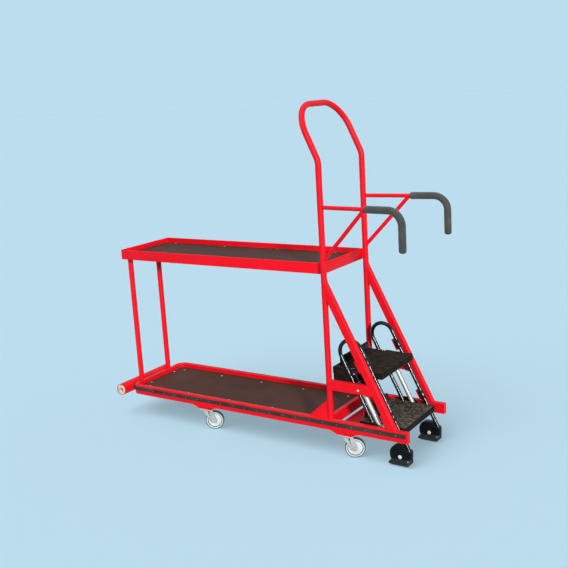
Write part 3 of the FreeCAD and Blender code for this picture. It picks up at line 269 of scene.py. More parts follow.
class Finish:
    """A material being built, with its shader and the point on the surface at hand."""

    def __init__(self, name, constants):
        self.material = bpy.data.materials.new(name)
        self.material.use_nodes = True
        self.tree = self.material.node_tree
        self.shader = self.tree.nodes["Principled BSDF"]
        self.point = surface_point(self.tree)
        for label, value in constants.items():
            self.shader.inputs[label].default_value = value

    def group(self, tree, output="Mask", **values):
        inputs = {label.replace("_", " "): value for label, value in values.items()}
        return add(self.tree, "ShaderNodeGroup", inputs, node_tree=tree).outputs[output]

    def noise(self, scale, detail=4.0, roughness=0.55, low=0.3, high=0.7, stretch=None):
        point = scaled(self.tree, self.point, stretch) if stretch else self.point
        return fit(self.tree, mottle(self.tree, point, scale, detail, roughness), low, high)

    def mix(self, factor, first, second):
        return blend(self.tree, factor, first, second)

    def rough(self, base, *parts):
        """A roughness that each mask raises or lowers."""
        total = base
        for mask, change in parts:
            total = maths(self.tree, "ADD", total, maths(self.tree, "MULTIPLY", mask, change))
        plug(self.tree, self.shader.inputs["Roughness"], total)

    def colour(self, base, *layers):
        """A colour under layers, each a mask and the tone that it brings."""
        for mask, shade in layers:
            base = self.mix(mask, base, shade)
        plug(self.tree, self.shader.inputs["Base Color"], base)

    def bump(self, height, strength, distance):
        bump = add(self.tree, "ShaderNodeBump",
                   {"Height": height, "Strength": strength, "Distance": distance})
        plug(self.tree, self.shader.inputs["Normal"], bump.outputs[0])


def tone(red, green, blue):
    """A colour given as it shows on a screen, 0 to 255."""
    def linear(level):
        share = level / 255
        return share / 12.92 if share <= 0.04045 else ((share + 0.055) / 1.055) ** 2.4
    return (linear(red), linear(green), linear(blue), 1.0)


# Finishes

def red_enamel():
    """Signal-red paint, dusty on top, rubbed along the tubes and chipped at edges."""
    paint = Finish("red_enamel", {"Specular IOR Level": 0.2})
    base = paint.mix(paint.noise(2.4, 5.0), tone(230, 6, 25), tone(244, 11, 32))
    dust = paint.group(DUST, Amount=0.14, Patch_Scale=11.0)
    rubs = paint.group(SCUFFS, Stretch=(0.25, 1.0, 1.0), Scale=60.0, Amount=0.35)
    chips = paint.group(WEAR, Width=0.0016, Amount=0.75, Patch_Scale=60.0)
    paint.colour(base, (dust, tone(222, 110, 104)), (rubs, tone(176, 60, 58)), (chips, tone(92, 58, 52)))
    paint.rough(0.42, (dust, 0.4), (rubs, 0.2), (chips, 0.2))
    paint.bump(paint.group(SKIN, "Height", Scale=380.0), 0.10, 0.0006)
    return paint.material


def black_enamel(name, shine, dusty, grain):
    """Black gloss paint with dust, rubbed lines, chipped edges and a fine skin."""
    paint = Finish(name, {"Specular IOR Level": shine})
    base = paint.mix(paint.noise(6.0), tone(5, 5, 5), tone(11, 10, 9))
    dust = paint.group(DUST, Amount=dusty, Patch_Scale=16.0)
    rubs = paint.group(SCUFFS, Stretch=(1.0, 1.0, 0.2), Scale=70.0, Amount=0.45)
    chips = paint.group(WEAR, Width=0.0015, Amount=0.8, Patch_Scale=70.0)
    paint.colour(base, (dust, tone(96, 90, 82)), (rubs, tone(58, 56, 52)), (chips, tone(120, 116, 110)))
    paint.rough(0.2, (dust, 0.4), (rubs, 0.3), (chips, 0.2))
    paint.bump(paint.group(SKIN, "Height", Scale=460.0), grain, 0.0005)
    return paint.material


def black_plate():
    """Duller black of folded plate, with more dust and bare edges."""
    paint = Finish("black_plate", {"Specular IOR Level": 0.08})
    base = paint.mix(paint.noise(9.0, 6.0), tone(20, 18, 16), tone(36, 31, 27))
    dust = paint.group(DUST, Amount=0.3, Patch_Scale=20.0)
    rubs = paint.group(SCUFFS, Stretch=(1.0, 0.3, 1.0), Scale=55.0, Amount=0.5)
    chips = paint.group(WEAR, Width=0.002, Amount=0.85, Patch_Scale=55.0)
    paint.colour(base, (dust, tone(104, 96, 86)), (rubs, tone(70, 65, 58)), (chips, tone(128, 122, 114)))
    paint.rough(0.36, (dust, 0.4), (rubs, 0.25))
    paint.bump(paint.noise(240.0, 3.0), 0.18, 0.0005)
    return paint.material


def tread_grit():
    """Anti-slip coat on the treads: dark grains, paler on the lower tread than the upper one, and brown in
    the middle.
    """
    coat = Finish("tread_grit", {"Specular IOR Level": 0.05})
    tree = coat.tree
    level = fit(tree, upward(tree), 0.55, 0.9)
    grains = cells(tree, coat.point, 420.0)
    fine = cells(tree, coat.point, 900.0)
    sides = coat.mix(coat.noise(30.0, 6.0), tone(20, 17, 15), tone(40, 34, 30))
    height = add(tree, "ShaderNodeSeparateXYZ", {0: coat.point}).outputs[2]
    # Pale speckles grow stronger lower down, so the lower tread is paler than the upper one.
    paler_lower_down = fit(tree, height, 0.40, 0.20, 0.05, 1.0)
    tops = coat.mix(coat.noise(42.0, 8.0, 0.75, 0.36, 0.66), tone(30, 25, 21), tone(84, 75, 66))
    brown = coat.noise(11.0, 5.0, 0.6, 0.5, 0.72)
    tops = coat.mix(maths(tree, "MULTIPLY", brown, 0.6), tops, tone(92, 52, 44))
    pale = coat.noise(80.0, 6.0, 0.8, 0.44, 0.62)
    tops = coat.mix(maths(tree, "MULTIPLY", pale, paler_lower_down), tops, tone(178, 168, 152))
    tops = coat.mix(fit(tree, grains, 0.15, 0.6, 0.0, 0.55), tops, tone(30, 26, 22))
    rub = coat.group(WEAR, Width=0.005, Amount=0.9, Patch_Scale=40.0)
    coat.colour(sides, (level, tops), (rub, tone(92, 82, 70)))
    coat.rough(0.62, (level, 0.28))
    grit = maths(tree, "ADD", grains, maths(tree, "MULTIPLY", fine, 0.4))
    coat.bump(grit, 0.75, 0.0012)
    return coat.material


def brown_board(name, dark, light):
    """Resin-film plywood with a fine wire-mesh emboss, scuffed by what is set down on it."""
    board = Finish(name, {"Specular IOR Level": 0.05})
    tree = board.tree
    lines = []
    for turn in (math.radians(30), math.radians(-30)):
        wave = add(tree, "ShaderNodeTexWave",
                   {"Vector": scaled(tree, board.point, (1, 1, 1), (0, 0, turn)), "Scale": 95.0},
                   bands_direction="Y", wave_profile="SIN")
        lines.append(wave.outputs[1])
    mesh = maths(tree, "MAXIMUM", *lines)
    base = board.mix(board.noise(3.0, 7.0, 0.6, 0.28, 0.72), dark, light)
    base = board.mix(fit(tree, mesh, 0.6, 1.0, 0.0, 0.35), base, tone(44, 28, 26))
    drags = board.group(SCUFFS, Stretch=(0.12, 1.0, 1.0), Scale=46.0, Amount=0.55)
    turns = board.group(SCUFFS, Stretch=(1.0, 0.22, 1.0), Scale=34.0, Amount=0.3)
    dust = board.group(DUST, Amount=0.07, Patch_Scale=4.0)
    board.colour(base, (dust, tone(146, 112, 98)), (drags, tone(132, 104, 94)), (turns, tone(36, 24, 22)))
    board.rough(0.6, (dust, 0.4), (drags, 0.25), (mesh, -0.06))
    board.bump(mesh, 0.25, 0.0003)
    return board.material


def grip_foam():
    """Closed-cell foam with fine pores."""
    foam = Finish("grip_foam", {"Specular IOR Level": 0.25, "Sheen Weight": 0.25, "Sheen Roughness": 0.5})
    tree = foam.tree
    pores = cells(tree, foam.point, 620.0, "SMOOTH_F1")
    skin = mottle(tree, foam.point, 1500.0, 2.0)
    base = foam.mix(foam.noise(18.0, 6.0, 0.6), tone(60, 61, 58), tone(84, 84, 78))
    # Darker at the pores: painted shade in their hollows.
    base = foam.mix(fit(tree, pores, 0.5, 0.15, 0.0, 0.5), base, tone(40, 41, 39))
    dust = foam.group(DUST, Amount=0.22, Patch_Scale=26.0)
    foam.colour(base, (dust, tone(132, 130, 122)))
    foam.rough(0.78, (dust, 0.15), (pores, 0.12))
    foam.bump(maths(tree, "ADD", pores, maths(tree, "MULTIPLY", skin, 0.4)), 0.45, 0.0006)
    return foam.material


def buffer_rubber():
    """Dark extruded strip with fine ribs along it, dusty and rubbed on its outer face."""
    rubber = Finish("buffer_rubber", {"Specular IOR Level": 0.15})
    tree = rubber.tree
    ribs = add(tree, "ShaderNodeTexWave", {"Vector": rubber.point, "Scale": 95.0},
               bands_direction="Z", wave_profile="SIN").outputs[1]
    base = rubber.mix(rubber.noise(12.0, 7.0, 0.65), tone(42, 35, 32), tone(74, 60, 55))
    marks = rubber.group(SCUFFS, Stretch=(0.15, 1.0, 1.0), Scale=80.0, Amount=0.8)
    dust = rubber.group(DUST, Amount=0.5, Patch_Scale=20.0)
    edges = rubber.group(WEAR, Width=0.0025, Amount=0.7, Patch_Scale=30.0)
    rubber.colour(base, (marks, tone(114, 100, 92)), (dust, tone(128, 102, 96)), (edges, tone(122, 90, 84)))
    rubber.rough(0.6, (marks, 0.2), (dust, 0.3))
    rubber.bump(maths(tree, "ADD", ribs, rubber.noise(300.0, 2.0)), 0.3, 0.0004)
    return rubber.material


def zinc_plate(name, metal, dull, bright):
    """Zinc plate with cloudy spangle, dulled and stained a little."""
    zinc = Finish(name, {"Metallic": metal})
    spangle = cells(zinc.tree, zinc.point, 120.0)
    cloud = zinc.noise(40.0, 6.0, 0.65)
    base = zinc.mix(cloud, dull, bright)
    grime = zinc.group(GRIME, Reach=0.13, Amount=0.35)
    stain = zinc.group(WEAR, Width=0.002, Amount=0.6, Patch_Scale=60.0)
    zinc.colour(base, (grime, tone(112, 104, 96)), (stain, tone(132, 112, 96)))
    zinc.rough(0.3, (spangle, 0.12), (cloud, 0.1), (grime, 0.3))
    zinc.bump(zinc.noise(260.0, 3.0), 0.08, 0.0004)
    return zinc.material


def spring_steel(name, dull, bright):
    """Drawn steel of the gas springs, with faint lines round it and a little oil film."""
    steel = Finish(name, {"Metallic": 0.7})
    film = steel.noise(30.0, 5.0, 0.6)
    lines = steel.noise(60.0, 3.0, 0.5, 0.3, 0.7, (0.4, 1.0, 9.0))
    base = steel.mix(film, dull, bright)
    dust = steel.group(DUST, Amount=0.15, Patch_Scale=24.0)
    steel.colour(base, (dust, tone(150, 142, 132)))
    steel.rough(0.44, (lines, 0.03), (film, 0.08), (dust, 0.2))
    steel.bump(lines, 0.01, 0.0003)
    return steel.material


def wheel_nylon():
    """Pale grey moulded wheel, dirty towards its rim."""
    nylon = Finish("wheel_nylon", {"Specular IOR Level": 0.45})
    base = nylon.mix(nylon.noise(20.0, 5.0), tone(206, 216, 216), tone(228, 236, 235))
    grime = nylon.group(GRIME, Reach=0.14, Amount=0.35)
    rubs = nylon.group(SCUFFS, Stretch=(1.0, 1.0, 1.0), Scale=120.0, Amount=0.35)
    nylon.colour(base, (grime, tone(140, 136, 126)), (rubs, tone(120, 122, 120)))
    nylon.rough(0.38, (grime, 0.3), (rubs, 0.2))
    nylon.bump(nylon.noise(420.0, 3.0), 0.1, 0.0004)
    return nylon.material


def tyre_rubber():
    """Grey tread of the wheels, rubbed and grimy."""
    tyre = Finish("tyre_rubber", {"Specular IOR Level": 0.3})
    base = tyre.mix(tyre.noise(26.0, 6.0), tone(74, 80, 82), tone(102, 110, 112))
    grime = tyre.group(GRIME, Reach=0.12, Amount=0.5)
    rubs = tyre.group(SCUFFS, Stretch=(1.0, 0.3, 1.0), Scale=90.0, Amount=0.6)
    tyre.colour(base, (grime, tone(76, 72, 66)), (rubs, tone(66, 68, 68)))
    tyre.rough(0.6, (grime, 0.2), (rubs, 0.1))
    tyre.bump(tyre.noise(300.0, 4.0), 0.25, 0.0005)
    return tyre.material


def cream_plug():
    """Cream plastic in the bumper ends, knocked and stained brown."""
    plug_finish = Finish("cream_plug", {"Specular IOR Level": 0.4})
    stains = plug_finish.noise(46.0, 7.0, 0.7, 0.5, 0.72)
    base = plug_finish.mix(plug_finish.noise(30.0), tone(206, 190, 168), tone(228, 216, 196))
    knocks = plug_finish.group(WEAR, Width=0.003, Amount=0.8, Patch_Scale=60.0)
    plug_finish.colour(base, (stains, tone(128, 92, 74)), (knocks, tone(150, 86, 78)))
    plug_finish.rough(0.5, (stains, 0.25))
    plug_finish.bump(plug_finish.noise(200.0, 4.0), 0.25, 0.0005)
    return plug_finish.material


def shoe_rubber():
    """Black rubber of the feet, grey with floor dust low down."""
    rubber = Finish("shoe_rubber", {"Specular IOR Level": 0.3})
    base = rubber.mix(rubber.noise(24.0, 6.0), tone(14, 13, 12), tone(34, 32, 30))
    grime = rubber.group(GRIME, Reach=0.05, Amount=0.5)
    dust = rubber.group(DUST, Amount=0.5, Patch_Scale=30.0)
    rub = rubber.group(WEAR, Width=0.004, Amount=0.8, Patch_Scale=45.0)
    rubber.colour(base, (grime, tone(84, 80, 74)), (dust, tone(110, 104, 96)), (rub, tone(84, 80, 76)))
    rubber.rough(0.56, (grime, 0.3), (dust, 0.3))
    rubber.bump(rubber.noise(280.0, 4.0), 0.3, 0.0006)
    return rubber.material


RED = red_enamel()
BLACK = black_enamel("black_enamel", 0.42, 0.15, 0.12)
CAST_BLACK = black_enamel("cast_black", 0.14, 0.45, 0.5)
PLATE = black_plate()
GRIT = tread_grit()
DECK_BOARD = brown_board("deck_film", tone(80, 52, 43), tone(106, 70, 59))
SHELF_BOARD = brown_board("shelf_film", tone(74, 47, 39), tone(100, 65, 55))
FOAM = grip_foam()
STRIP = buffer_rubber()
ZINC = zinc_plate("bright_zinc", 0.55, tone(198, 196, 194), tone(230, 229, 227))
DULL_ZINC = zinc_plate("dull_zinc", 0.7, tone(92, 84, 78), tone(132, 124, 116))
FORK_ZINC = zinc_plate("fork_zinc", 0.35, tone(172, 168, 164), tone(206, 203, 199))
# Near-white zinc for the lug studs and foot bolt heads: its pale colour is a painted glint, so they show as
# bright spots.
GLINT_ZINC = zinc_plate("polished_zinc", 0.35, tone(234, 233, 230), tone(250, 250, 248))
STEEL = spring_steel("spring_steel", tone(188, 184, 176), tone(212, 209, 203))
DARK_STEEL = spring_steel("dark_steel", tone(34, 33, 32), tone(58, 56, 54))
WHEEL = wheel_nylon()
TYRE = tyre_rubber()
CREAM = cream_plug()
SHOE = shoe_rubber()

NODE_FINISHES = (
    (RED, ("deck_rail_", "deck_front_rail", "deck_end_rail", "rail_end_caps", "deck_bearers", "bumper_tube",
           "post_", "push_hoop", "shelf_bearers", "arm_", "braces", "stringer_", "tie_bars")),
    (BLACK, ("hairpin_",)),
    (GRIT, ("tread_upper", "tread_lower")),
    (DECK_BOARD, ("deck_board",)),
    (SHELF_BOARD, ("shelf_board",)),
    (STEEL, ("gas_cylinders",)),
    (FORK_ZINC, ("castor_fork_",)),
)


def paint_nodes():
    for finish, prefixes in NODE_FINISHES:
        for name, solid in frame["nodes"].items():
            if name.startswith(prefixes):
                for place in solid.material_slots:
                    place.material = finish


# Pieces

def new_piece(name, mesh):
    piece = bpy.data.objects.new(name, mesh)
    bpy.context.scene.collection.objects.link(piece)
    return piece


def plain_mesh(piece, name):
    """The piece with its modifiers worked in, as a fresh object without them."""
    bpy.context.view_layer.update()
    depsgraph = bpy.context.evaluated_depsgraph_get()
    mesh = bpy.data.meshes.new_from_object(piece.evaluated_get(depsgraph), depsgraph=depsgraph)
    mesh.name = name
    bpy.data.objects.remove(piece)
    return new_piece(name, mesh)


def hand_over(piece, body, slot, *nodes):
    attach(piece, body)
    if nodes:
        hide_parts(*nodes)
    return piece


def mesh_from(name, points, faces, finishes, marks=None, sharp=35):
    """A mesh from points in millimetres, smooth except at corners sharper than the angle."""
    mesh = bpy.data.meshes.new(name)
    mesh.from_pydata([tuple(point * MM) for point in points], [], faces)
    for finish in finishes:
        mesh.materials.append(finish)
    if marks:
        mesh.polygons.foreach_set("material_index", marks)
    shape = bmesh.new()
    shape.from_mesh(mesh)
    bmesh.ops.recalc_face_normals(shape, faces=shape.faces[:])
    shape.to_mesh(mesh)
    shape.free()
    mesh.polygons.foreach_set("use_smooth", [True] * len(mesh.polygons))
    mesh.set_sharp_from_angle(angle=math.radians(sharp))
    return mesh


MERGE_GAP, FLAT_ANGLE = 2e-6, math.radians(0.5)
BROKEN_STEPS, BROKEN_ANGLE = 2, math.radians(40)


def eased(node, width, finish, slot):
    """A CAD piece with its sharp edges broken, as folded and cut plate really has them."""
    mesh = bpy.data.meshes.new(f"{node}_eased")
    shape = bmesh.new()
    shape.from_mesh(frame["nodes"][node].data)
    bmesh.ops.remove_doubles(shape, verts=shape.verts[:], dist=MERGE_GAP)
    bmesh.ops.dissolve_limit(shape, angle_limit=FLAT_ANGLE, verts=shape.verts[:], edges=shape.edges[:])
    shape.to_mesh(mesh)
    shape.free()
    mesh.materials.clear()
    mesh.materials.append(finish)
    mesh.polygons.foreach_set("material_index", [0] * len(mesh.polygons))
    mesh.polygons.foreach_set("use_smooth", [True] * len(mesh.polygons))
    rough_piece = new_piece(f"{node}_rough", mesh)
    bevel = rough_piece.modifiers.new("broken_edges", "BEVEL")
    bevel.width = width * MM
    bevel.segments = BROKEN_STEPS
    bevel.limit_method = "ANGLE"
    bevel.angle_limit = BROKEN_ANGLE
    bevel.harden_normals = True
    piece = plain_mesh(rough_piece, f"{node}_eased")
    return hand_over(piece, frame["nodes"][node]["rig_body"], slot, node)


EASED_NODES = (
    (RED, "red_paint", 0.9, ("shelf_rim_near", "shelf_rim_far", "shelf_rim_left", "shelf_rim_right",
                             "frame_gussets", "guide_bars", "castor_channels")),
    (PLATE, "black_paint", 1.2, ("spring_brackets", "toe_plates")),
    (BLACK, "black_paint", 0.8, ("guide_collars",)),
    (CAST_BLACK, "black_paint", 3.0, ("foot_housings",)),
    (SHOE, "shoe", 2.0, ("foot_shoe_near", "foot_shoe_far")),
    (STRIP, "strip", 1.8, ("buffer_strip_near", "buffer_strip_far")),
    (CREAM, "plug", 1.6, ("bumper_plugs",)),
    (ZINC, "zinc", 0.6, ("castor_plates",)),
    (DARK_STEEL, "gas_steel", 0.6, ("gas_rods",)),
)


def ease_nodes():
    for finish, slot, width, nodes in EASED_NODES:
        for node in nodes:
            eased(node, width, finish, slot)


# Geometry Nodes trees for what repeats and what follows a seam

BEAD_SIDES, RIPPLE_PITCH, RIPPLE_DEPTH = 7, 4.2, 0.16


def geometry_tree(name, inputs):
    tree = bpy.data.node_groups.new(name, "GeometryNodeTree")
    names = {}
    for label, kind in inputs:
        names[label] = tree.interface.new_socket(label, in_out="INPUT", socket_type=kind).identifier
    tree.interface.new_socket("Result", in_out="OUTPUT", socket_type="NodeSocketGeometry")
    return tree, names, add(tree, "NodeGroupInput").outputs, add(tree, "NodeGroupOutput").inputs


def fastener_rows():
    """One fastener on every spot, standing the way the spot faces and turned at random."""
    tree, names, given, result = geometry_tree("fastener_rows", (
        ("Spots", "NodeSocketGeometry"), ("Fastener", "NodeSocketObject"), ("Size", "NodeSocketFloat"),
        ("Seed", "NodeSocketInt"), ("Finish", "NodeSocketMaterial")))
    shape = add(tree, "GeometryNodeObjectInfo", {"Object": given["Fastener"]}).outputs["Geometry"]
    facing = add(tree, "GeometryNodeInputNamedAttribute", {"Name": "facing"}, data_type="FLOAT_VECTOR")
    stand = add(tree, "FunctionNodeAlignRotationToVector", {"Vector": facing.outputs[0]}, axis="Z")
    angle = add(tree, "FunctionNodeRandomValue", {2: 0.0, 3: math.tau, "Seed": given["Seed"]})
    spin = add(tree, "FunctionNodeAxisAngleToRotation", {"Axis": (0, 0, 1), "Angle": angle.outputs[1]})
    turn = add(tree, "FunctionNodeRotateRotation",
               {"Rotation": stand.outputs[0], "Rotate By": spin.outputs[0]}, rotation_space="LOCAL")
    rows = add(tree, "GeometryNodeInstanceOnPoints",
               {"Points": given["Spots"], "Instance": shape, "Rotation": turn.outputs[0],
                "Scale": given["Size"]})
    solid = add(tree, "GeometryNodeRealizeInstances", {0: rows.outputs[0]})
    done = add(tree, "GeometryNodeSetMaterial", {"Geometry": solid.outputs[0], "Material": given["Finish"]})
    plug(tree, result["Result"], done.outputs[0])
    return tree, names


def weld_runs():
    """A rippled bead along every seam line."""
    tree, names, given, result = geometry_tree("weld_runs", (
        ("Seams", "NodeSocketGeometry"), ("Bead Radius", "NodeSocketFloat"),
        ("Ripple Pitch", "NodeSocketFloat"), ("Ripple Depth", "NodeSocketFloat"),
        ("Seed", "NodeSocketFloat"), ("Finish", "NodeSocketMaterial")))
    seam = add(tree, "GeometryNodeMeshToCurve", {"Mesh": given["Seams"]}).outputs[0]
    step = maths(tree, "DIVIDE", given["Ripple Pitch"], 4.0)
    even = add(tree, "GeometryNodeResampleCurve", {"Curve": seam, "Length": step}, mode="LENGTH").outputs[0]
    along = add(tree, "GeometryNodeSplineParameter").outputs["Length"]
    turns = maths(tree, "MULTIPLY", maths(tree, "DIVIDE", along, given["Ripple Pitch"]), math.tau)
    ripple = maths(tree, "MULTIPLY", maths(tree, "SINE", turns), given["Ripple Depth"])
    spot = add(tree, "GeometryNodeInputPosition").outputs[0]
    wobble = add(tree, "ShaderNodeTexNoise",
                 {"Vector": spot, "W": given["Seed"], "Scale": 160.0, "Detail": 1.0},
                 noise_dimensions="4D").outputs[0]
    size = maths(tree, "ADD", maths(tree, "ADD", ripple, 0.75), maths(tree, "MULTIPLY", wobble, 0.5))
    section = add(tree, "GeometryNodeCurvePrimitiveCircle",
                  {"Resolution": BEAD_SIDES, "Radius": given["Bead Radius"]}).outputs[0]
    bead = add(tree, "GeometryNodeCurveToMesh",
               {"Curve": even, "Profile Curve": section, "Scale": size, "Fill Caps": True}).outputs[0]
    smooth = add(tree, "GeometryNodeSetShadeSmooth", {"Geometry": bead}).outputs[0]
    solid = add(tree, "GeometryNodeRealizeInstances", {0: smooth}).outputs[0]
    done = add(tree, "GeometryNodeSetMaterial", {"Geometry": solid, "Material": given["Finish"]})
    plug(tree, result["Result"], done.outputs[0])
    return tree, names


FASTENERS = fastener_rows()
WELDS = weld_runs()


def grown(host, name, tree_and_names, values):
    """The host with a tree's result in its place, as a plain mesh."""
    tree, names = tree_and_names
    modifier = host.modifiers.new(tree.name, "NODES")
    modifier.node_group = tree
    for label, value in values.items():
        modifier[names[label]] = value
    return plain_mesh(host, name)


# Screws and bolts

CROSS_COUNT = 24


def ring_of(radius, z):
    turn = math.tau / CROSS_COUNT
    return [Vector((radius * math.cos(turn * k), radius * math.sin(turn * k), z))
            for k in range(CROSS_COUNT)]


def cross_ring(half_width, half_length, z):
    """The outline of a cross recess, on the same angles as a ring."""
    points = []
    for spot in ring_of(1.0, 0):
        across = max(abs(spot.x), 1e-6)
        up = max(abs(spot.y), 1e-6)
        reach = max(min(half_length / across, half_width / up), min(half_width / across, half_length / up))
        points.append(Vector((spot.x * reach, spot.y * reach, z)))
    return points


def stacked(name, rings):
    """Rings of equal count joined in order and closed at both ends."""
    count = len(rings[0])
    points = [point for ring in rings for point in ring]
    faces = [tuple(range(count))[::-1], tuple(range(len(points) - count, len(points)))]
    for level in range(len(rings) - 1):
        for k in range(count):
            low, high = level * count, (level + 1) * count
            following = (k + 1) % count
            faces.append((low + k, low + following, high + following, high + k))
    return mesh_from(name, points, faces, [], sharp=30)


def sunk_screw():
    """A countersunk head whose top is level with the board."""
    return stacked("sunk_screw", [ring_of(4.2, -1.4), ring_of(5.3, -0.35), ring_of(5.15, 0.0),
                                  cross_ring(0.75, 2.7, -0.05), cross_ring(0.5, 1.9, -1.1)])


def pan_screw():
    return stacked("pan_screw", [
        ring_of(4.5, 0.0), ring_of(4.45, 0.5), ring_of(3.9, 1.1), ring_of(3.0, 1.42),
        cross_ring(0.65, 2.1, 1.5), cross_ring(0.45, 1.5, 0.6)])


def hex_ring(radius, z):
    """A hexagon drawn on the angles of a ring."""
    points = []
    for k, spot in enumerate(ring_of(1.0, 0)):
        angle = (k * math.tau / CROSS_COUNT) % (math.tau / 6) - math.tau / 12
        points.append(spot * (radius * math.cos(math.tau / 12) / math.cos(angle)) + UP * z)
    return points


def hex_bolt(height):
    """A hexagon head on a washer, its top corners turned off."""
    return stacked(f"hex_bolt_{height}", [
        ring_of(9.0, 0.0), ring_of(9.0, 1.0), ring_of(8.7, 1.2), hex_ring(7.4, 1.2), hex_ring(7.5, 1.5),
        hex_ring(7.5, height - 0.9), hex_ring(6.6, height), ring_of(5.6, height)])


def button_stud():
    return stacked("button_stud", [
        ring_of(4.5, 0.0), ring_of(4.4, 1.6), ring_of(3.6, 3.0), ring_of(1.8, 3.8)])


def fasten(name, head, spots, body, finish, seed, nodes=(), size=1.0):
    """One piece of like fasteners; each spot is a place and the way that it faces."""
    template = new_piece(f"{name}_pattern", head)
    mesh = bpy.data.meshes.new(f"{name}_spots")
    mesh.from_pydata([tuple(Vector(spot) * MM) for spot, _ in spots], [], [])
    facing = mesh.attributes.new("facing", "FLOAT_VECTOR", "POINT")
    facing.data.foreach_set("vector", [value for _, way in spots for value in way])
    host = new_piece(f"{name}_host", mesh)
    values = {"Fastener": template, "Size": size, "Seed": seed, "Finish": finish}
    piece = grown(host, name, FASTENERS, values)
    bpy.data.objects.remove(template)
    return hand_over(piece, body, "zinc", *nodes)


# Rows of screws along X: first place, pitch, count and distance from the middle
DECK_ROW, SHELF_ROW, STRIP_ROW = (-700, 259, 5, 142), (-700, 330, 4, 161), (-690, 72.8, 21, 214)
DECK_END_ROW = (-733, 0, 1, 95)
STRIP_Z = 163
TIE_BOLT_X, TIE_BOLT_Z = 588, 340
BRACKET_BOLT_X, BRACKET_BOLT_Z = 610, 174
PLATE_Z, PLATE_BOLT_X, PLATE_BOLT_Y = 110, 20, 29
CHEEK_STUD_X, CHEEK_STUD_Y = (530, 541), 150
SHOE_PIN_X, SHOE_PIN_Z = 38, -16


def screw_row(row, z, upright=True):
    """Spots in a row on each side, facing up or else outwards."""
    first, pitch, count, y = row
    return [((first + pitch * k, side * y, z), UP if upright else (0, side, 0))
            for k in range(count) for _, side in SIDES]


def foot_faces(side, x, z):
    """Spots on both faces of a foot, facing away from its middle."""
    return [((x, side * LEG_Y + face * FOOT_HALF, z), (0, face, 0)) for face in (-1, 1)]


def fasteners():
    deck = screw_row(DECK_ROW, DECK_TOP) + screw_row(DECK_END_ROW, DECK_TOP)
    fasten("deck_screw_heads", sunk_screw(), deck, "frame", ZINC, 3, ["deck_screws"])
    shelf = screw_row(SHELF_ROW, SHELF_TOP)
    fasten("shelf_screw_heads", sunk_screw(), shelf, "frame", ZINC, 5, ["shelf_screws"])
    strip = screw_row(STRIP_ROW, STRIP_Z, upright=False)
    fasten("strip_screw_heads", pan_screw(), strip, "frame", DULL_ZINC, 7, ["strip_screws"], 0.75)
    tie = [((TIE_BOLT_X, side * RAIL_OUTER, TIE_BOLT_Z), (0, side, 0)) for _, side in SIDES]
    fasten("tie_bar_bolts", hex_bolt(5), tie, "frame", ZINC, 11, ["frame_bolts"], 0.6)
    bracket = [((BRACKET_BOLT_X, side * BRACKET_FACE, BRACKET_BOLT_Z), (0, -side, 0)) for _, side in SIDES]
    fasten("spring_bracket_bolts", hex_bolt(5), bracket, "frame", ZINC, 13, size=0.75)
    plates = [((x + along, side * CASTOR_Y + across, PLATE_Z), -UP) for _, x, side in CASTORS
              for along in (-PLATE_BOLT_X, PLATE_BOLT_X) for across in (-PLATE_BOLT_Y, PLATE_BOLT_Y)]
    fasten("castor_plate_bolts", hex_bolt(5), plates, "frame", ZINC, 17, size=0.7)
    lugs = [(spring_point(LUG_Z) + Vector((0, side * LUG_HEAD, 0)), (0, side, 0)) for _, side in SIDES]
    lugs += [((x, side * CHEEK_STUD_Y, TREADS[0][0]), UP) for x in CHEEK_STUD_X for _, side in SIDES]
    # Lug studs: near-white zinc, a painted glint.
    fasten("lug_studs", button_stud(), lugs, "ladder", GLINT_ZINC, 19, size=0.6)
    foot = [spot for _, side in SIDES for spot in foot_faces(side, FOOT_X, FOOT_Z)]
    # Foot bolt heads: near-white zinc, a painted glint.
    fasten("foot_bolt_heads", hex_bolt(4), foot, "ladder", GLINT_ZINC, 23, ["foot_bolts"])
    for name, side in SIDES:
        pins = foot_faces(side, FOOT_X + SHOE_PIN_X, FOOT_Z + SHOE_PIN_Z)
        fasten(f"shoe_pins_{name}", button_stud(), pins, f"foot_{name}", ZINC, 29, size=0.7)


# Weld seams, given by their lines: PROUD is how far a bead's middle stands off the metal

SEAM_COUNT = 28
PROUD = 0.4
RAIL_SEAM, GUIDE_SEAM, CHANNEL_SEAM = (184.5, 206.5), (184.5, 204.5), (184, 207)
GUSSET_HALF = 3.5
POST_GUSSET_FOOT, POST_GUSSET_X, POST_GUSSET_TOP = (331, 419), 422.6, 264
TIE_GUSSET_FOOT, TIE_GUSSET_RISE = (42, 5), (316, 279)
POST_FOOT_SEAM, HOOP_SEAM, HOOP_SEAM_Z = (14, 13), (13.2, 13.2), 1290
SHELF_POST_X, SHELF_POST_Y = 427.6, 184.2
SHELF_CORNERS = (FRONT_X + 5, 422)
LEFT_POST_HALF, LEFT_POST_SEAM_X = 6.6, FRONT_X - 0.9
LEFT_POST_LOW = (153, 177)
COPE_START, COPE_SWEEP, COPE_STEPS = 118, 124, 14
END_RAIL_FACES, END_RAIL_Y, END_RAIL_SEAM = (424.6, 398.4), 182.4, (133, 177)
CHANNEL_SEAM_Z = 129.4
LEG_SEAM = (10.4, 9.4)
TOE_SEAM_INSET = 4


def circle_seam(centre, along, across):
    """A closed seam: the two vectors are its half axes."""
    turn = math.tau / SEAM_COUNT
    return [centre + along * math.cos(turn * k) + across * math.sin(turn * k)
            for k in range(SEAM_COUNT)], True


def level_ring(centre, half_axes):
    return circle_seam(centre, Vector((half_axes[0], 0, 0)), Vector((0, half_axes[1], 0)))


def line_seam(*points):
    return [Vector(point) for point in points], False


def cross_seam(x, z, side, ends):
    """A seam across a rail, from one distance off the middle to another."""
    return line_seam((x, side * ends[0], z), (x, side * ends[1], z))


def long_seam(start, end, y, z):
    return line_seam((start, y, z), (end, y, z))


def upright_seam(x, y, low, high):
    return line_seam((x, y, low), (x, y, high))


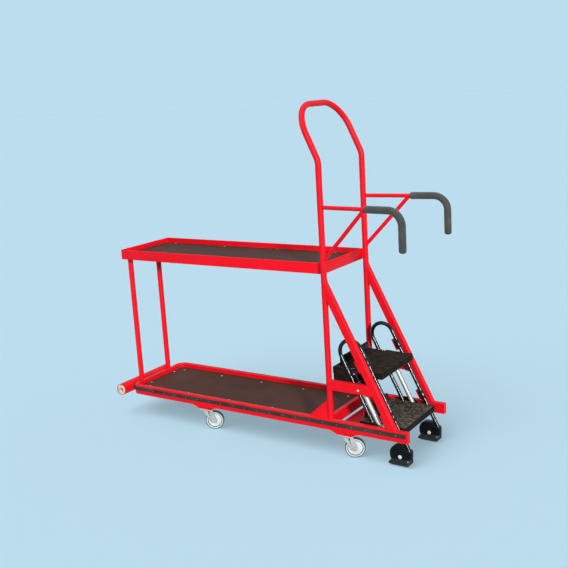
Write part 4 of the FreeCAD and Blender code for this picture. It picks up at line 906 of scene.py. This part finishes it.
def post_saddle(foot, way, radius):
    """Where a tube that starts on the right post's axis leaves the post's skin."""
    level = Vector((way.x, way.y, 0))
    flat = level.length
    sideways = level.normalized().cross(UP)
    rising = sideways.cross(way)
    lean = rising.dot(level.normalized())
    points = []
    for k in range(SEAM_COUNT):
        angle = math.tau * k / SEAM_COUNT
        reach = math.sqrt(POST_R ** 2 - (radius * math.cos(angle)) ** 2) - radius * math.sin(angle) * lean
        points.append(foot + way * (reach / flat)
                      + (sideways * math.cos(angle) + rising * math.sin(angle)) * radius)
    return points, True


def arm_saddle(top, way, radius):
    """Where a brace runs into the arm above it."""
    level = Vector((way.x, way.y, 0)).normalized()
    sideways = level.cross(UP)
    rising = sideways.cross(way)
    points = []
    for k in range(SEAM_COUNT):
        angle = math.tau * k / SEAM_COUNT
        drop = ARM_R * abs(math.sin(angle)) + rising.z * radius * math.sin(angle)
        points.append(top - way * (drop / way.z)
                      + (sideways * math.cos(angle) + rising * math.sin(angle)) * radius)
    return points, True


def post_edge(y):
    """X of the right post's skin on its step side."""
    return POST_X + math.sqrt(max(POST_R ** 2 - (abs(y) - POST_Y) ** 2, 0))


def bar_on_post(side, top, low):
    """The seam round a rectangular bar that runs into the right post; top and low give Z from X."""
    steps = [RAIL_INNER + PROUD + 24.2 * k / 8 for k in range(9)]
    upper = [Vector((post_edge(y) + PROUD, side * y, top(post_edge(y)) + 0.3)) for y in steps]
    lower = [Vector((post_edge(y) + PROUD, side * y, low(post_edge(y)) - 0.3)) for y in reversed(steps)]
    return upper + lower, True


def post_seams(side):
    """Right post: its foot and gusset, the shelf, the hoop's joint, the arm and its brace."""
    post = Vector((POST_X, side * POST_Y, 0))
    way = Vector((GRIP_X - POST_X, side * (GRIP_Y - POST_Y), 0)).normalized()
    low = post + UP * BRACE_FOOT_Z
    high = post + UP * ARM_Z + way * BRACE_REACH
    brace = (high - low).normalized()
    seams = [
        level_ring(post + UP * (RAIL_TOP + 0.6), POST_FOOT_SEAM),
        level_ring(post + UP * HOOP_SEAM_Z, HOOP_SEAM),
        post_saddle(post + UP * ARM_Z, way, ARM_R + 0.3),
        post_saddle(low, brace, ARM_R + 0.3),
        arm_saddle(high, brace, ARM_R - 0.1),
        upright_seam(SHELF_POST_X, side * SHELF_POST_Y, SHELF_LOW + 2, SHELF_HIGH - 2),
    ]
    for edge in (-GUSSET_HALF, GUSSET_HALF):
        y = side * POST_Y + edge
        seams.append(long_seam(*POST_GUSSET_FOOT, y, RAIL_TOP + 0.5))
        seams.append(upright_seam(POST_GUSSET_X, y, RAIL_TOP + 6, POST_GUSSET_TOP))
    return seams


def stringer_seams(side):
    """Stringer and tie bar: their ends on post and rail, and the gusset under the tie bar."""
    seams = [bar_on_post(side, stringer_top, stringer_underside),
             bar_on_post(side, lambda x: TIE_HIGH, lambda x: TIE_LOW)]
    for x in (stringer_front(RAIL_TOP), stringer_rear(RAIL_TOP)):
        seams.append(cross_seam(x, RAIL_TOP + PROUD, side, RAIL_SEAM))
    for z in (TIE_LOW - PROUD, TIE_HIGH + PROUD):
        seams.append(cross_seam(stringer_rear(z), z, side, RAIL_SEAM))
    for y in (RAIL_INNER - 0.1, RAIL_OUTER + 0.1):
        seams.append(line_seam((stringer_rear(TIE_LOW), side * y, TIE_LOW + 2),
                               (stringer_rear(TIE_HIGH), side * y, TIE_HIGH - 2)))
    foot_x = stringer_rear(TIE_LOW)
    for edge in (-GUSSET_HALF, GUSSET_HALF):
        y = side * RAIL_MID + edge
        seams.append(long_seam(*(foot_x - reach for reach in TIE_GUSSET_FOOT), y, TIE_LOW - 0.5))
        seams.append(line_seam(*((stringer_rear(z) - 0.5, y, z) for z in TIE_GUSSET_RISE)))
    return seams


def left_post_seams(side):
    """Left post: on the shelf's and the deck's front, and coped on to the bumper tube."""
    seams = []
    for edge in (-LEFT_POST_HALF, LEFT_POST_HALF):
        y = side * LEFT_POST_Y + edge
        seams.append(upright_seam(LEFT_POST_SEAM_X, y, *LEFT_POST_LOW))
        seams.append(upright_seam(LEFT_POST_SEAM_X, y, SHELF_LOW + 2, SHELF_HIGH - 7))
    cope = []
    for k in range(COPE_STEPS + 1):
        angle = math.radians(COPE_START + COPE_SWEEP * k / COPE_STEPS)
        x = LEFT_POST_X + POST_R * math.cos(angle)
        y = side * LEFT_POST_Y + POST_R * math.sin(angle)
        cope.append((x, y, BUMPER_Z + math.sqrt(BUMPER_R ** 2 - (x - BUMPER_X) ** 2) + PROUD))
    return seams + [line_seam(*cope)]


def deck_seams(side):
    """Shelf corners, the deck's end rail, and the castor channels under the rails."""
    seams = [upright_seam(x, side * SHELF_HALF, SHELF_LOW + 1, SHELF_HIGH - 1) for x in SHELF_CORNERS]
    seams += [upright_seam(x, side * END_RAIL_Y, *END_RAIL_SEAM) for x in END_RAIL_FACES]
    seams += [cross_seam(x + edge, CHANNEL_SEAM_Z, side, CHANNEL_SEAM)
              for x in CHANNELS for edge in (-CHANNEL_HALF, CHANNEL_HALF)]
    return seams


def guide_seams(side):
    """Guide bars, on the rear face of a stringer."""
    seams = []
    for level in GUIDE_LEVELS:
        middle = stringer_point(leg_point(1, level))
        for edge in (-GUIDE_HALF, GUIDE_HALF):
            spot = middle + DOWN * edge
            seams.append(line_seam(*(spot + Vector((0, side * y, 0)) for y in GUIDE_SEAM)))
        inner = middle + Vector((0, side * (RAIL_INNER - 0.2), 0))
        seams.append(line_seam(inner - DOWN * (GUIDE_HALF - 2), inner + DOWN * (GUIDE_HALF - 2)))
    return seams


def frame_seams():
    groups = (post_seams, stringer_seams, left_post_seams, deck_seams, guide_seams)
    return [seam for _, side in SIDES for group in groups for seam in group(side)]


def ladder_seams():
    """Round the legs on the inner side of each tread, and along both sides of the toe plates."""
    seams = []
    for top, toe_x, toe_half in TREADS:
        for _, side in SIDES:
            for sign in (1, -1):
                centre = leg_point(sign, top + 0.5) + Vector((0, side * LEG_Y, 0))
                round_leg, _ = level_ring(centre, (LEG_SEAM[0], -side * LEG_SEAM[1]))
                seams.append(line_seam(*(spot for spot in round_leg if abs(spot.y) <= LEG_Y)))
        end = toe_half - TOE_SEAM_INSET
        for x in (toe_x - PROUD, toe_x + TOE_T + PROUD):
            seams.append(line_seam((x, -end, top + PROUD), (x, end, top + PROUD)))
    return seams


def weld(name, seams, body, finish, slot, radius, seed):
    points, edges = [], []
    for seam, closed in seams:
        first = len(points)
        points.extend(tuple(point * MM) for point in seam)
        edges.extend((first + k, first + k + 1) for k in range(len(seam) - 1))
        if closed:
            edges.append((len(points) - 1, first))
    mesh = bpy.data.meshes.new(f"{name}_seams")
    mesh.from_pydata(points, edges, [])
    host = new_piece(f"{name}_host", mesh)
    values = {"Bead Radius": radius * MM, "Ripple Pitch": RIPPLE_PITCH * MM, "Ripple Depth": RIPPLE_DEPTH,
              "Seed": seed, "Finish": finish}
    return hand_over(grown(host, name, WELDS, values), body, slot)


# Foam grips

def grip_line(side):
    """The middle line of a grip as a function: straight along the arm, round the bend, then down."""
    run = Vector((GRIP_X - POST_X, side * (GRIP_Y - POST_Y), 0))
    way = run.normalized()
    start = Vector((POST_X, side * POST_Y, ARM_Z)) + way * GRIP_START
    straight = run.length - ARM_BEND - GRIP_START
    arc = ARM_BEND * math.pi / 2
    drop = ARM_Z - ARM_BEND - GRIP_END_Z

    def at(along):
        if along < straight:
            return start + way * along, way, 0.0
        if along < straight + arc:
            angle = (along - straight) / ARM_BEND
            outward = way * math.sin(angle) + UP * math.cos(angle)
            centre = start + way * straight - UP * ARM_BEND
            ahead = way * math.cos(angle) - UP * math.sin(angle)
            return centre + outward * ARM_BEND, ahead, math.sin(2 * angle)
        corner = start + way * (straight + ARM_BEND) - UP * ARM_BEND
        return corner - UP * (along - straight - arc), -UP, 0.0

    return at, way.cross(UP), straight + arc + drop


# A grip's mouth as places along it and radii, then what shapes the rest of the sleeve
GRIP_MOUTH = [(0.0, 9.1), (0.0, 12.6), (0.25, 14.6), (1.0, 15.6), (2.6, GRIP_R)]
GRIP_RINGS_FROM, GRIP_RINGS, GRIP_AROUND = 5, 140, 40
GRIP_END_ROUND, GRIP_END_STEPS, GRIP_END_HOLE = 11, 8, (0.3, 3.2)
CREASE_PITCH, CREASE_DEPTH, LUMP_HEIGHT, LUMP_SCALE = 8.2, 0.75, 0.35, 0.045


def grip_stations(length):
    """Places along a grip, each with the radius there."""
    stations = list(GRIP_MOUTH)
    body = length - GRIP_END_ROUND - GRIP_RINGS_FROM
    stations += [(GRIP_RINGS_FROM + body * k / GRIP_RINGS, GRIP_R) for k in range(GRIP_RINGS)]
    for k in range(GRIP_END_STEPS + 1):
        angle = math.radians(90 * k / GRIP_END_STEPS)
        stations.append((length - GRIP_END_ROUND + GRIP_END_ROUND * math.sin(angle),
                         GRIP_R - GRIP_END_ROUND + GRIP_END_ROUND * math.cos(angle)))
    depth, radius = GRIP_END_HOLE
    return stations + [(length - depth, radius)]


def foam_grip(name, side):
    """A foam sleeve: cut square at its start, rounded at its end, creased inside the bend."""
    at, across, length = grip_line(side)
    stations = grip_stations(length)
    points = []
    for along, radius in stations:
        centre, way, bend = at(along)
        inward = way.cross(across)
        for k in range(GRIP_AROUND):
            angle = math.tau * k / GRIP_AROUND
            spoke = across * math.cos(angle) + inward * math.sin(angle)
            size = radius
            if radius > GRIP_END_ROUND:
                inside = max(0.0, -spoke.dot(inward))
                crease = bend * inside ** 2 * (0.5 + 0.5 * math.sin(along * math.tau / CREASE_PITCH))
                lump = noise.noise((centre + spoke * radius) * LUMP_SCALE)
                size += LUMP_HEIGHT * lump - CREASE_DEPTH * crease
            points.append(centre + spoke * size)
    faces = []
    for ring in range(len(stations) - 1):
        for k in range(GRIP_AROUND):
            following = (k + 1) % GRIP_AROUND
            low, high = ring * GRIP_AROUND, (ring + 1) * GRIP_AROUND
            faces.append((low + k, low + following, high + following, high + k))
    faces.append(tuple(range(GRIP_AROUND)))
    faces.append(tuple(range(len(points) - GRIP_AROUND, len(points))))
    mesh = mesh_from(f"foam_grip_{name}", points, faces, [FOAM], sharp=50)
    piece = new_piece(f"foam_grip_{name}", mesh)
    return hand_over(piece, "frame", "foam", f"grip_{name}")


# Castor wheels and spring collars

def turned(profile, centre, axis, count, points, faces):
    """Adds a ring turned about an axis from a closed section of radius and offset."""
    across = axis.orthogonal().normalized()
    upright = axis.cross(across)
    first = len(points)
    size = len(profile)
    for k in range(count):
        angle = math.tau * k / count
        spoke = across * math.cos(angle) + upright * math.sin(angle)
        points.extend(centre + axis * offset + spoke * radius for radius, offset in profile)
    for k in range(count):
        here, there = first + k * size, first + (k + 1) % count * size
        for j in range(size):
            following = (j + 1) % size
            faces.append((here + j, here + following, there + following, there + j))


def mirrored(half):
    """A closed section from its half on the positive side."""
    return half + [(radius, -offset) for radius, offset in reversed(half)]


TYRE_HALF = [(46.0, 7.0), (45.9, 9.4), (45.3, 11.0), (44.3, 11.8), (43.2, 12.0), (42.1, 11.6)]
RIM_HALF = [(41.9, 10.6), (41.2, 11.0), (37.4, 10.8), (36.6, 10.2)]
GROOVE_HALF = [(36.2, 8.4), (35.2, 6.9), (34.2, 6.9)]
DISC_HALF = [(33.2, 8.2), (31.8, 8.8), (27.0, 8.6), (20.0, 7.6), (16.6, 8.0),
             (14.9, 9.2), (14.1, 11.0), (13.9, 13.5), (13.3, 14.0), (6.2, 14.0)]
WHEEL_STEPS = 72


def castor_wheel(name, x, side):
    """A moulded wheel with a thin tyre, and a groove where its disc meets its rim."""
    along = Vector((math.cos(CASTOR_TURN), math.sin(CASTOR_TURN), 0))
    centre = Vector((x, side * CASTOR_Y, WHEEL_R)) + along * TRAIL
    axis = UP.cross(along)
    points, faces = [], []
    turned(mirrored(TYRE_HALF), centre, axis, WHEEL_STEPS, points, faces)
    marks = [0] * len(faces)
    section = mirrored(RIM_HALF + GROOVE_HALF + DISC_HALF)
    turned(section, centre, axis, WHEEL_STEPS, points, faces)
    middle = len(section) - 1
    first = len(RIM_HALF) - 1
    last = first + len(GROOVE_HALF)
    # The groove's faces take the darker tyre finish, as painted shade in the groove.
    for index in range(len(faces) - len(marks)):
        spot = index % len(section)
        spot = min(spot, middle - 1 - spot) if spot < middle else middle
        marks.append(0 if first <= spot <= last else 1)
    mesh = mesh_from(f"wheel_{name}", points, faces, [TYRE, WHEEL], marks, sharp=50)
    piece = new_piece(f"moulded_wheel_{name}", mesh)
    return hand_over(piece, f"wheel_{name}", "wheel", f"castor_wheel_{name}")


COLLAR = [(10.55, 0.0), (11.4, 0.3), (11.9, 1.2), (12.0, 9.0), (11.3, 10.4), (10.55, 11.0)]
COLLAR_DROP, COLLAR_STEPS = 11.5, 48


def spring_collars():
    """A black ring at the top of each gas spring, where the rod goes in."""
    points, faces = [], []
    for _, side in SIDES:
        low = spring_point(SPRING_HIGH) + Vector((0, side * SPRING_Y, 0)) + DOWN * COLLAR_DROP
        turned(COLLAR, low, -DOWN, COLLAR_STEPS, points, faces)
    mesh = mesh_from("spring_collars", points, faces, [PLATE])
    return hand_over(new_piece("spring_collars", mesh), "frame", "black_paint")


# Floor, light and camera

BACKDROP = tone(188, 221, 238)
SKY_LEVEL = 0.28
KEY_LEVEL, KEY_AZIMUTH, KEY_HEIGHT, KEY_SOFT = 0.95, 50.0, 15.5, 8.0
TOP_LEVEL, TOP_AZIMUTH, TOP_HEIGHT, TOP_SOFT = 0.32, -20.0, 55.0, 50.0
FLOOR_LEVEL, FLOOR_GLOW, FLOOR_REACH = 0.45, 0.5, 90


def sun(name, level, azimuth, height, soft):
    """A sun whose level is what it adds to a white card that faces it."""
    lamp = bpy.data.lights.new(name, "SUN")
    lamp.energy = level * math.pi
    lamp.angle = math.radians(soft)
    holder = bpy.data.objects.new(name, lamp)
    holder.rotation_euler = away(azimuth, height).to_track_quat("Z", "Y").to_euler()
    bpy.context.scene.collection.objects.link(holder)
    return holder


def aim_light(holder, piece, state):
    """Lights only the given piece, or all but it."""
    share = bpy.data.collections.new(f"{holder.name}_share")
    share.objects.link(piece)
    share.collection_objects[0].light_linking.link_state = state
    holder.light_linking.receiver_collection = share


def backdrop_rays(tree):
    """One for the rays that show the background: straight from the camera, mirrored or let through."""
    light_path = add(tree, "ShaderNodeLightPath").outputs
    seen = maths(tree, "MAXIMUM", light_path["Is Camera Ray"], light_path["Is Glossy Ray"])
    return maths(tree, "MAXIMUM", seen, light_path["Is Transmission Ray"])


def stage():
    """The pale floor and room, the lamps, and the plain view transform."""
    mesh = bpy.data.meshes.new("pale_floor")
    corners = [(x * FLOOR_REACH, y * FLOOR_REACH, 0) for x, y in ((-1, -1), (1, -1), (1, 1), (-1, 1))]
    mesh.from_pydata(corners, [], [(0, 1, 2, 3)])
    floor = new_piece("pale_floor", mesh)
    floor_light = SKY_LEVEL + (TOP_LEVEL + FLOOR_LEVEL) * math.sin(math.radians(TOP_HEIGHT))
    finish = Finish("pale_floor", {"Roughness": 1.0, "Specular IOR Level": 0.0})
    lit = (1 - FLOOR_GLOW) / floor_light
    finish.shader.inputs["Base Color"].default_value = [lit * level for level in BACKDROP[:3]] + [1.0]
    glow = tuple(FLOOR_GLOW * level for level in BACKDROP[:3]) + (1.0,)
    plug(finish.tree, finish.shader.inputs["Emission Color"],
         finish.mix(backdrop_rays(finish.tree), (0.0, 0.0, 0.0, 1.0), glow))
    finish.shader.inputs["Emission Strength"].default_value = 1.0
    mesh.materials.append(finish.material)

    world = bpy.data.worlds.new("pale_room")
    world.use_nodes = True
    bpy.context.scene.world = world
    tree = world.node_tree
    sky = (SKY_LEVEL, SKY_LEVEL, SKY_LEVEL, 1.0)
    plug(tree, tree.nodes["Background"].inputs["Color"], blend(tree, backdrop_rays(tree), sky, BACKDROP))

    aim_light(sun("key_sun", KEY_LEVEL, KEY_AZIMUTH, KEY_HEIGHT, KEY_SOFT), floor, "EXCLUDE")
    sun("top_sun", TOP_LEVEL, TOP_AZIMUTH, TOP_HEIGHT, TOP_SOFT)
    aim_light(sun("floor_sun", FLOOR_LEVEL, TOP_AZIMUTH, TOP_HEIGHT, TOP_SOFT), floor, "INCLUDE")
    bpy.context.scene.view_settings.view_transform = "Standard"


CAMERA_PLACE = Vector((2.3846, -3.4076, 1.6554))
CAMERA_AZIMUTH, CAMERA_HEIGHT, CAMERA_ROLL = 34.47, 12.11, -3.61
CAMERA_LENS, CAMERA_SENSOR, CAMERA_SHIFT, CAMERA_CLIP = 55.763, 36, (0.0156, -0.0123), 400


def camera():
    across, roll = math.radians(CAMERA_AZIMUTH), math.radians(CAMERA_ROLL)
    back = away(CAMERA_AZIMUTH, CAMERA_HEIGHT)
    right = Vector((math.cos(across), math.sin(across), 0))
    level = back.cross(right)
    rolled_right = right * math.cos(roll) + level * math.sin(roll)
    rolled_up = level * math.cos(roll) - right * math.sin(roll)
    lens = bpy.data.cameras.new("camera")
    lens.lens = CAMERA_LENS
    lens.sensor_width = CAMERA_SENSOR
    lens.shift_x, lens.shift_y = CAMERA_SHIFT
    lens.clip_end = CAMERA_CLIP
    eye = bpy.data.objects.new("camera", lens)
    turn = Matrix((rolled_right, rolled_up, back)).transposed().to_4x4()
    eye.matrix_world = Matrix.Translation(CAMERA_PLACE) @ turn
    bpy.context.scene.collection.objects.link(eye)
    bpy.context.scene.camera = eye


camera()
stage()
paint_nodes()
ease_nodes()
fasteners()
weld("frame_welds", frame_seams(), "frame", RED, "red_paint", 1.7, 2.0)
weld("ladder_welds", ladder_seams(), "ladder", BLACK, "black_paint", 1.5, 4.0)
for grip_name, grip_side in SIDES:
    foam_grip(grip_name, grip_side)
for castor_name, castor_x, castor_side in CASTORS:
    castor_wheel(castor_name, castor_x, castor_side)
spring_collars()
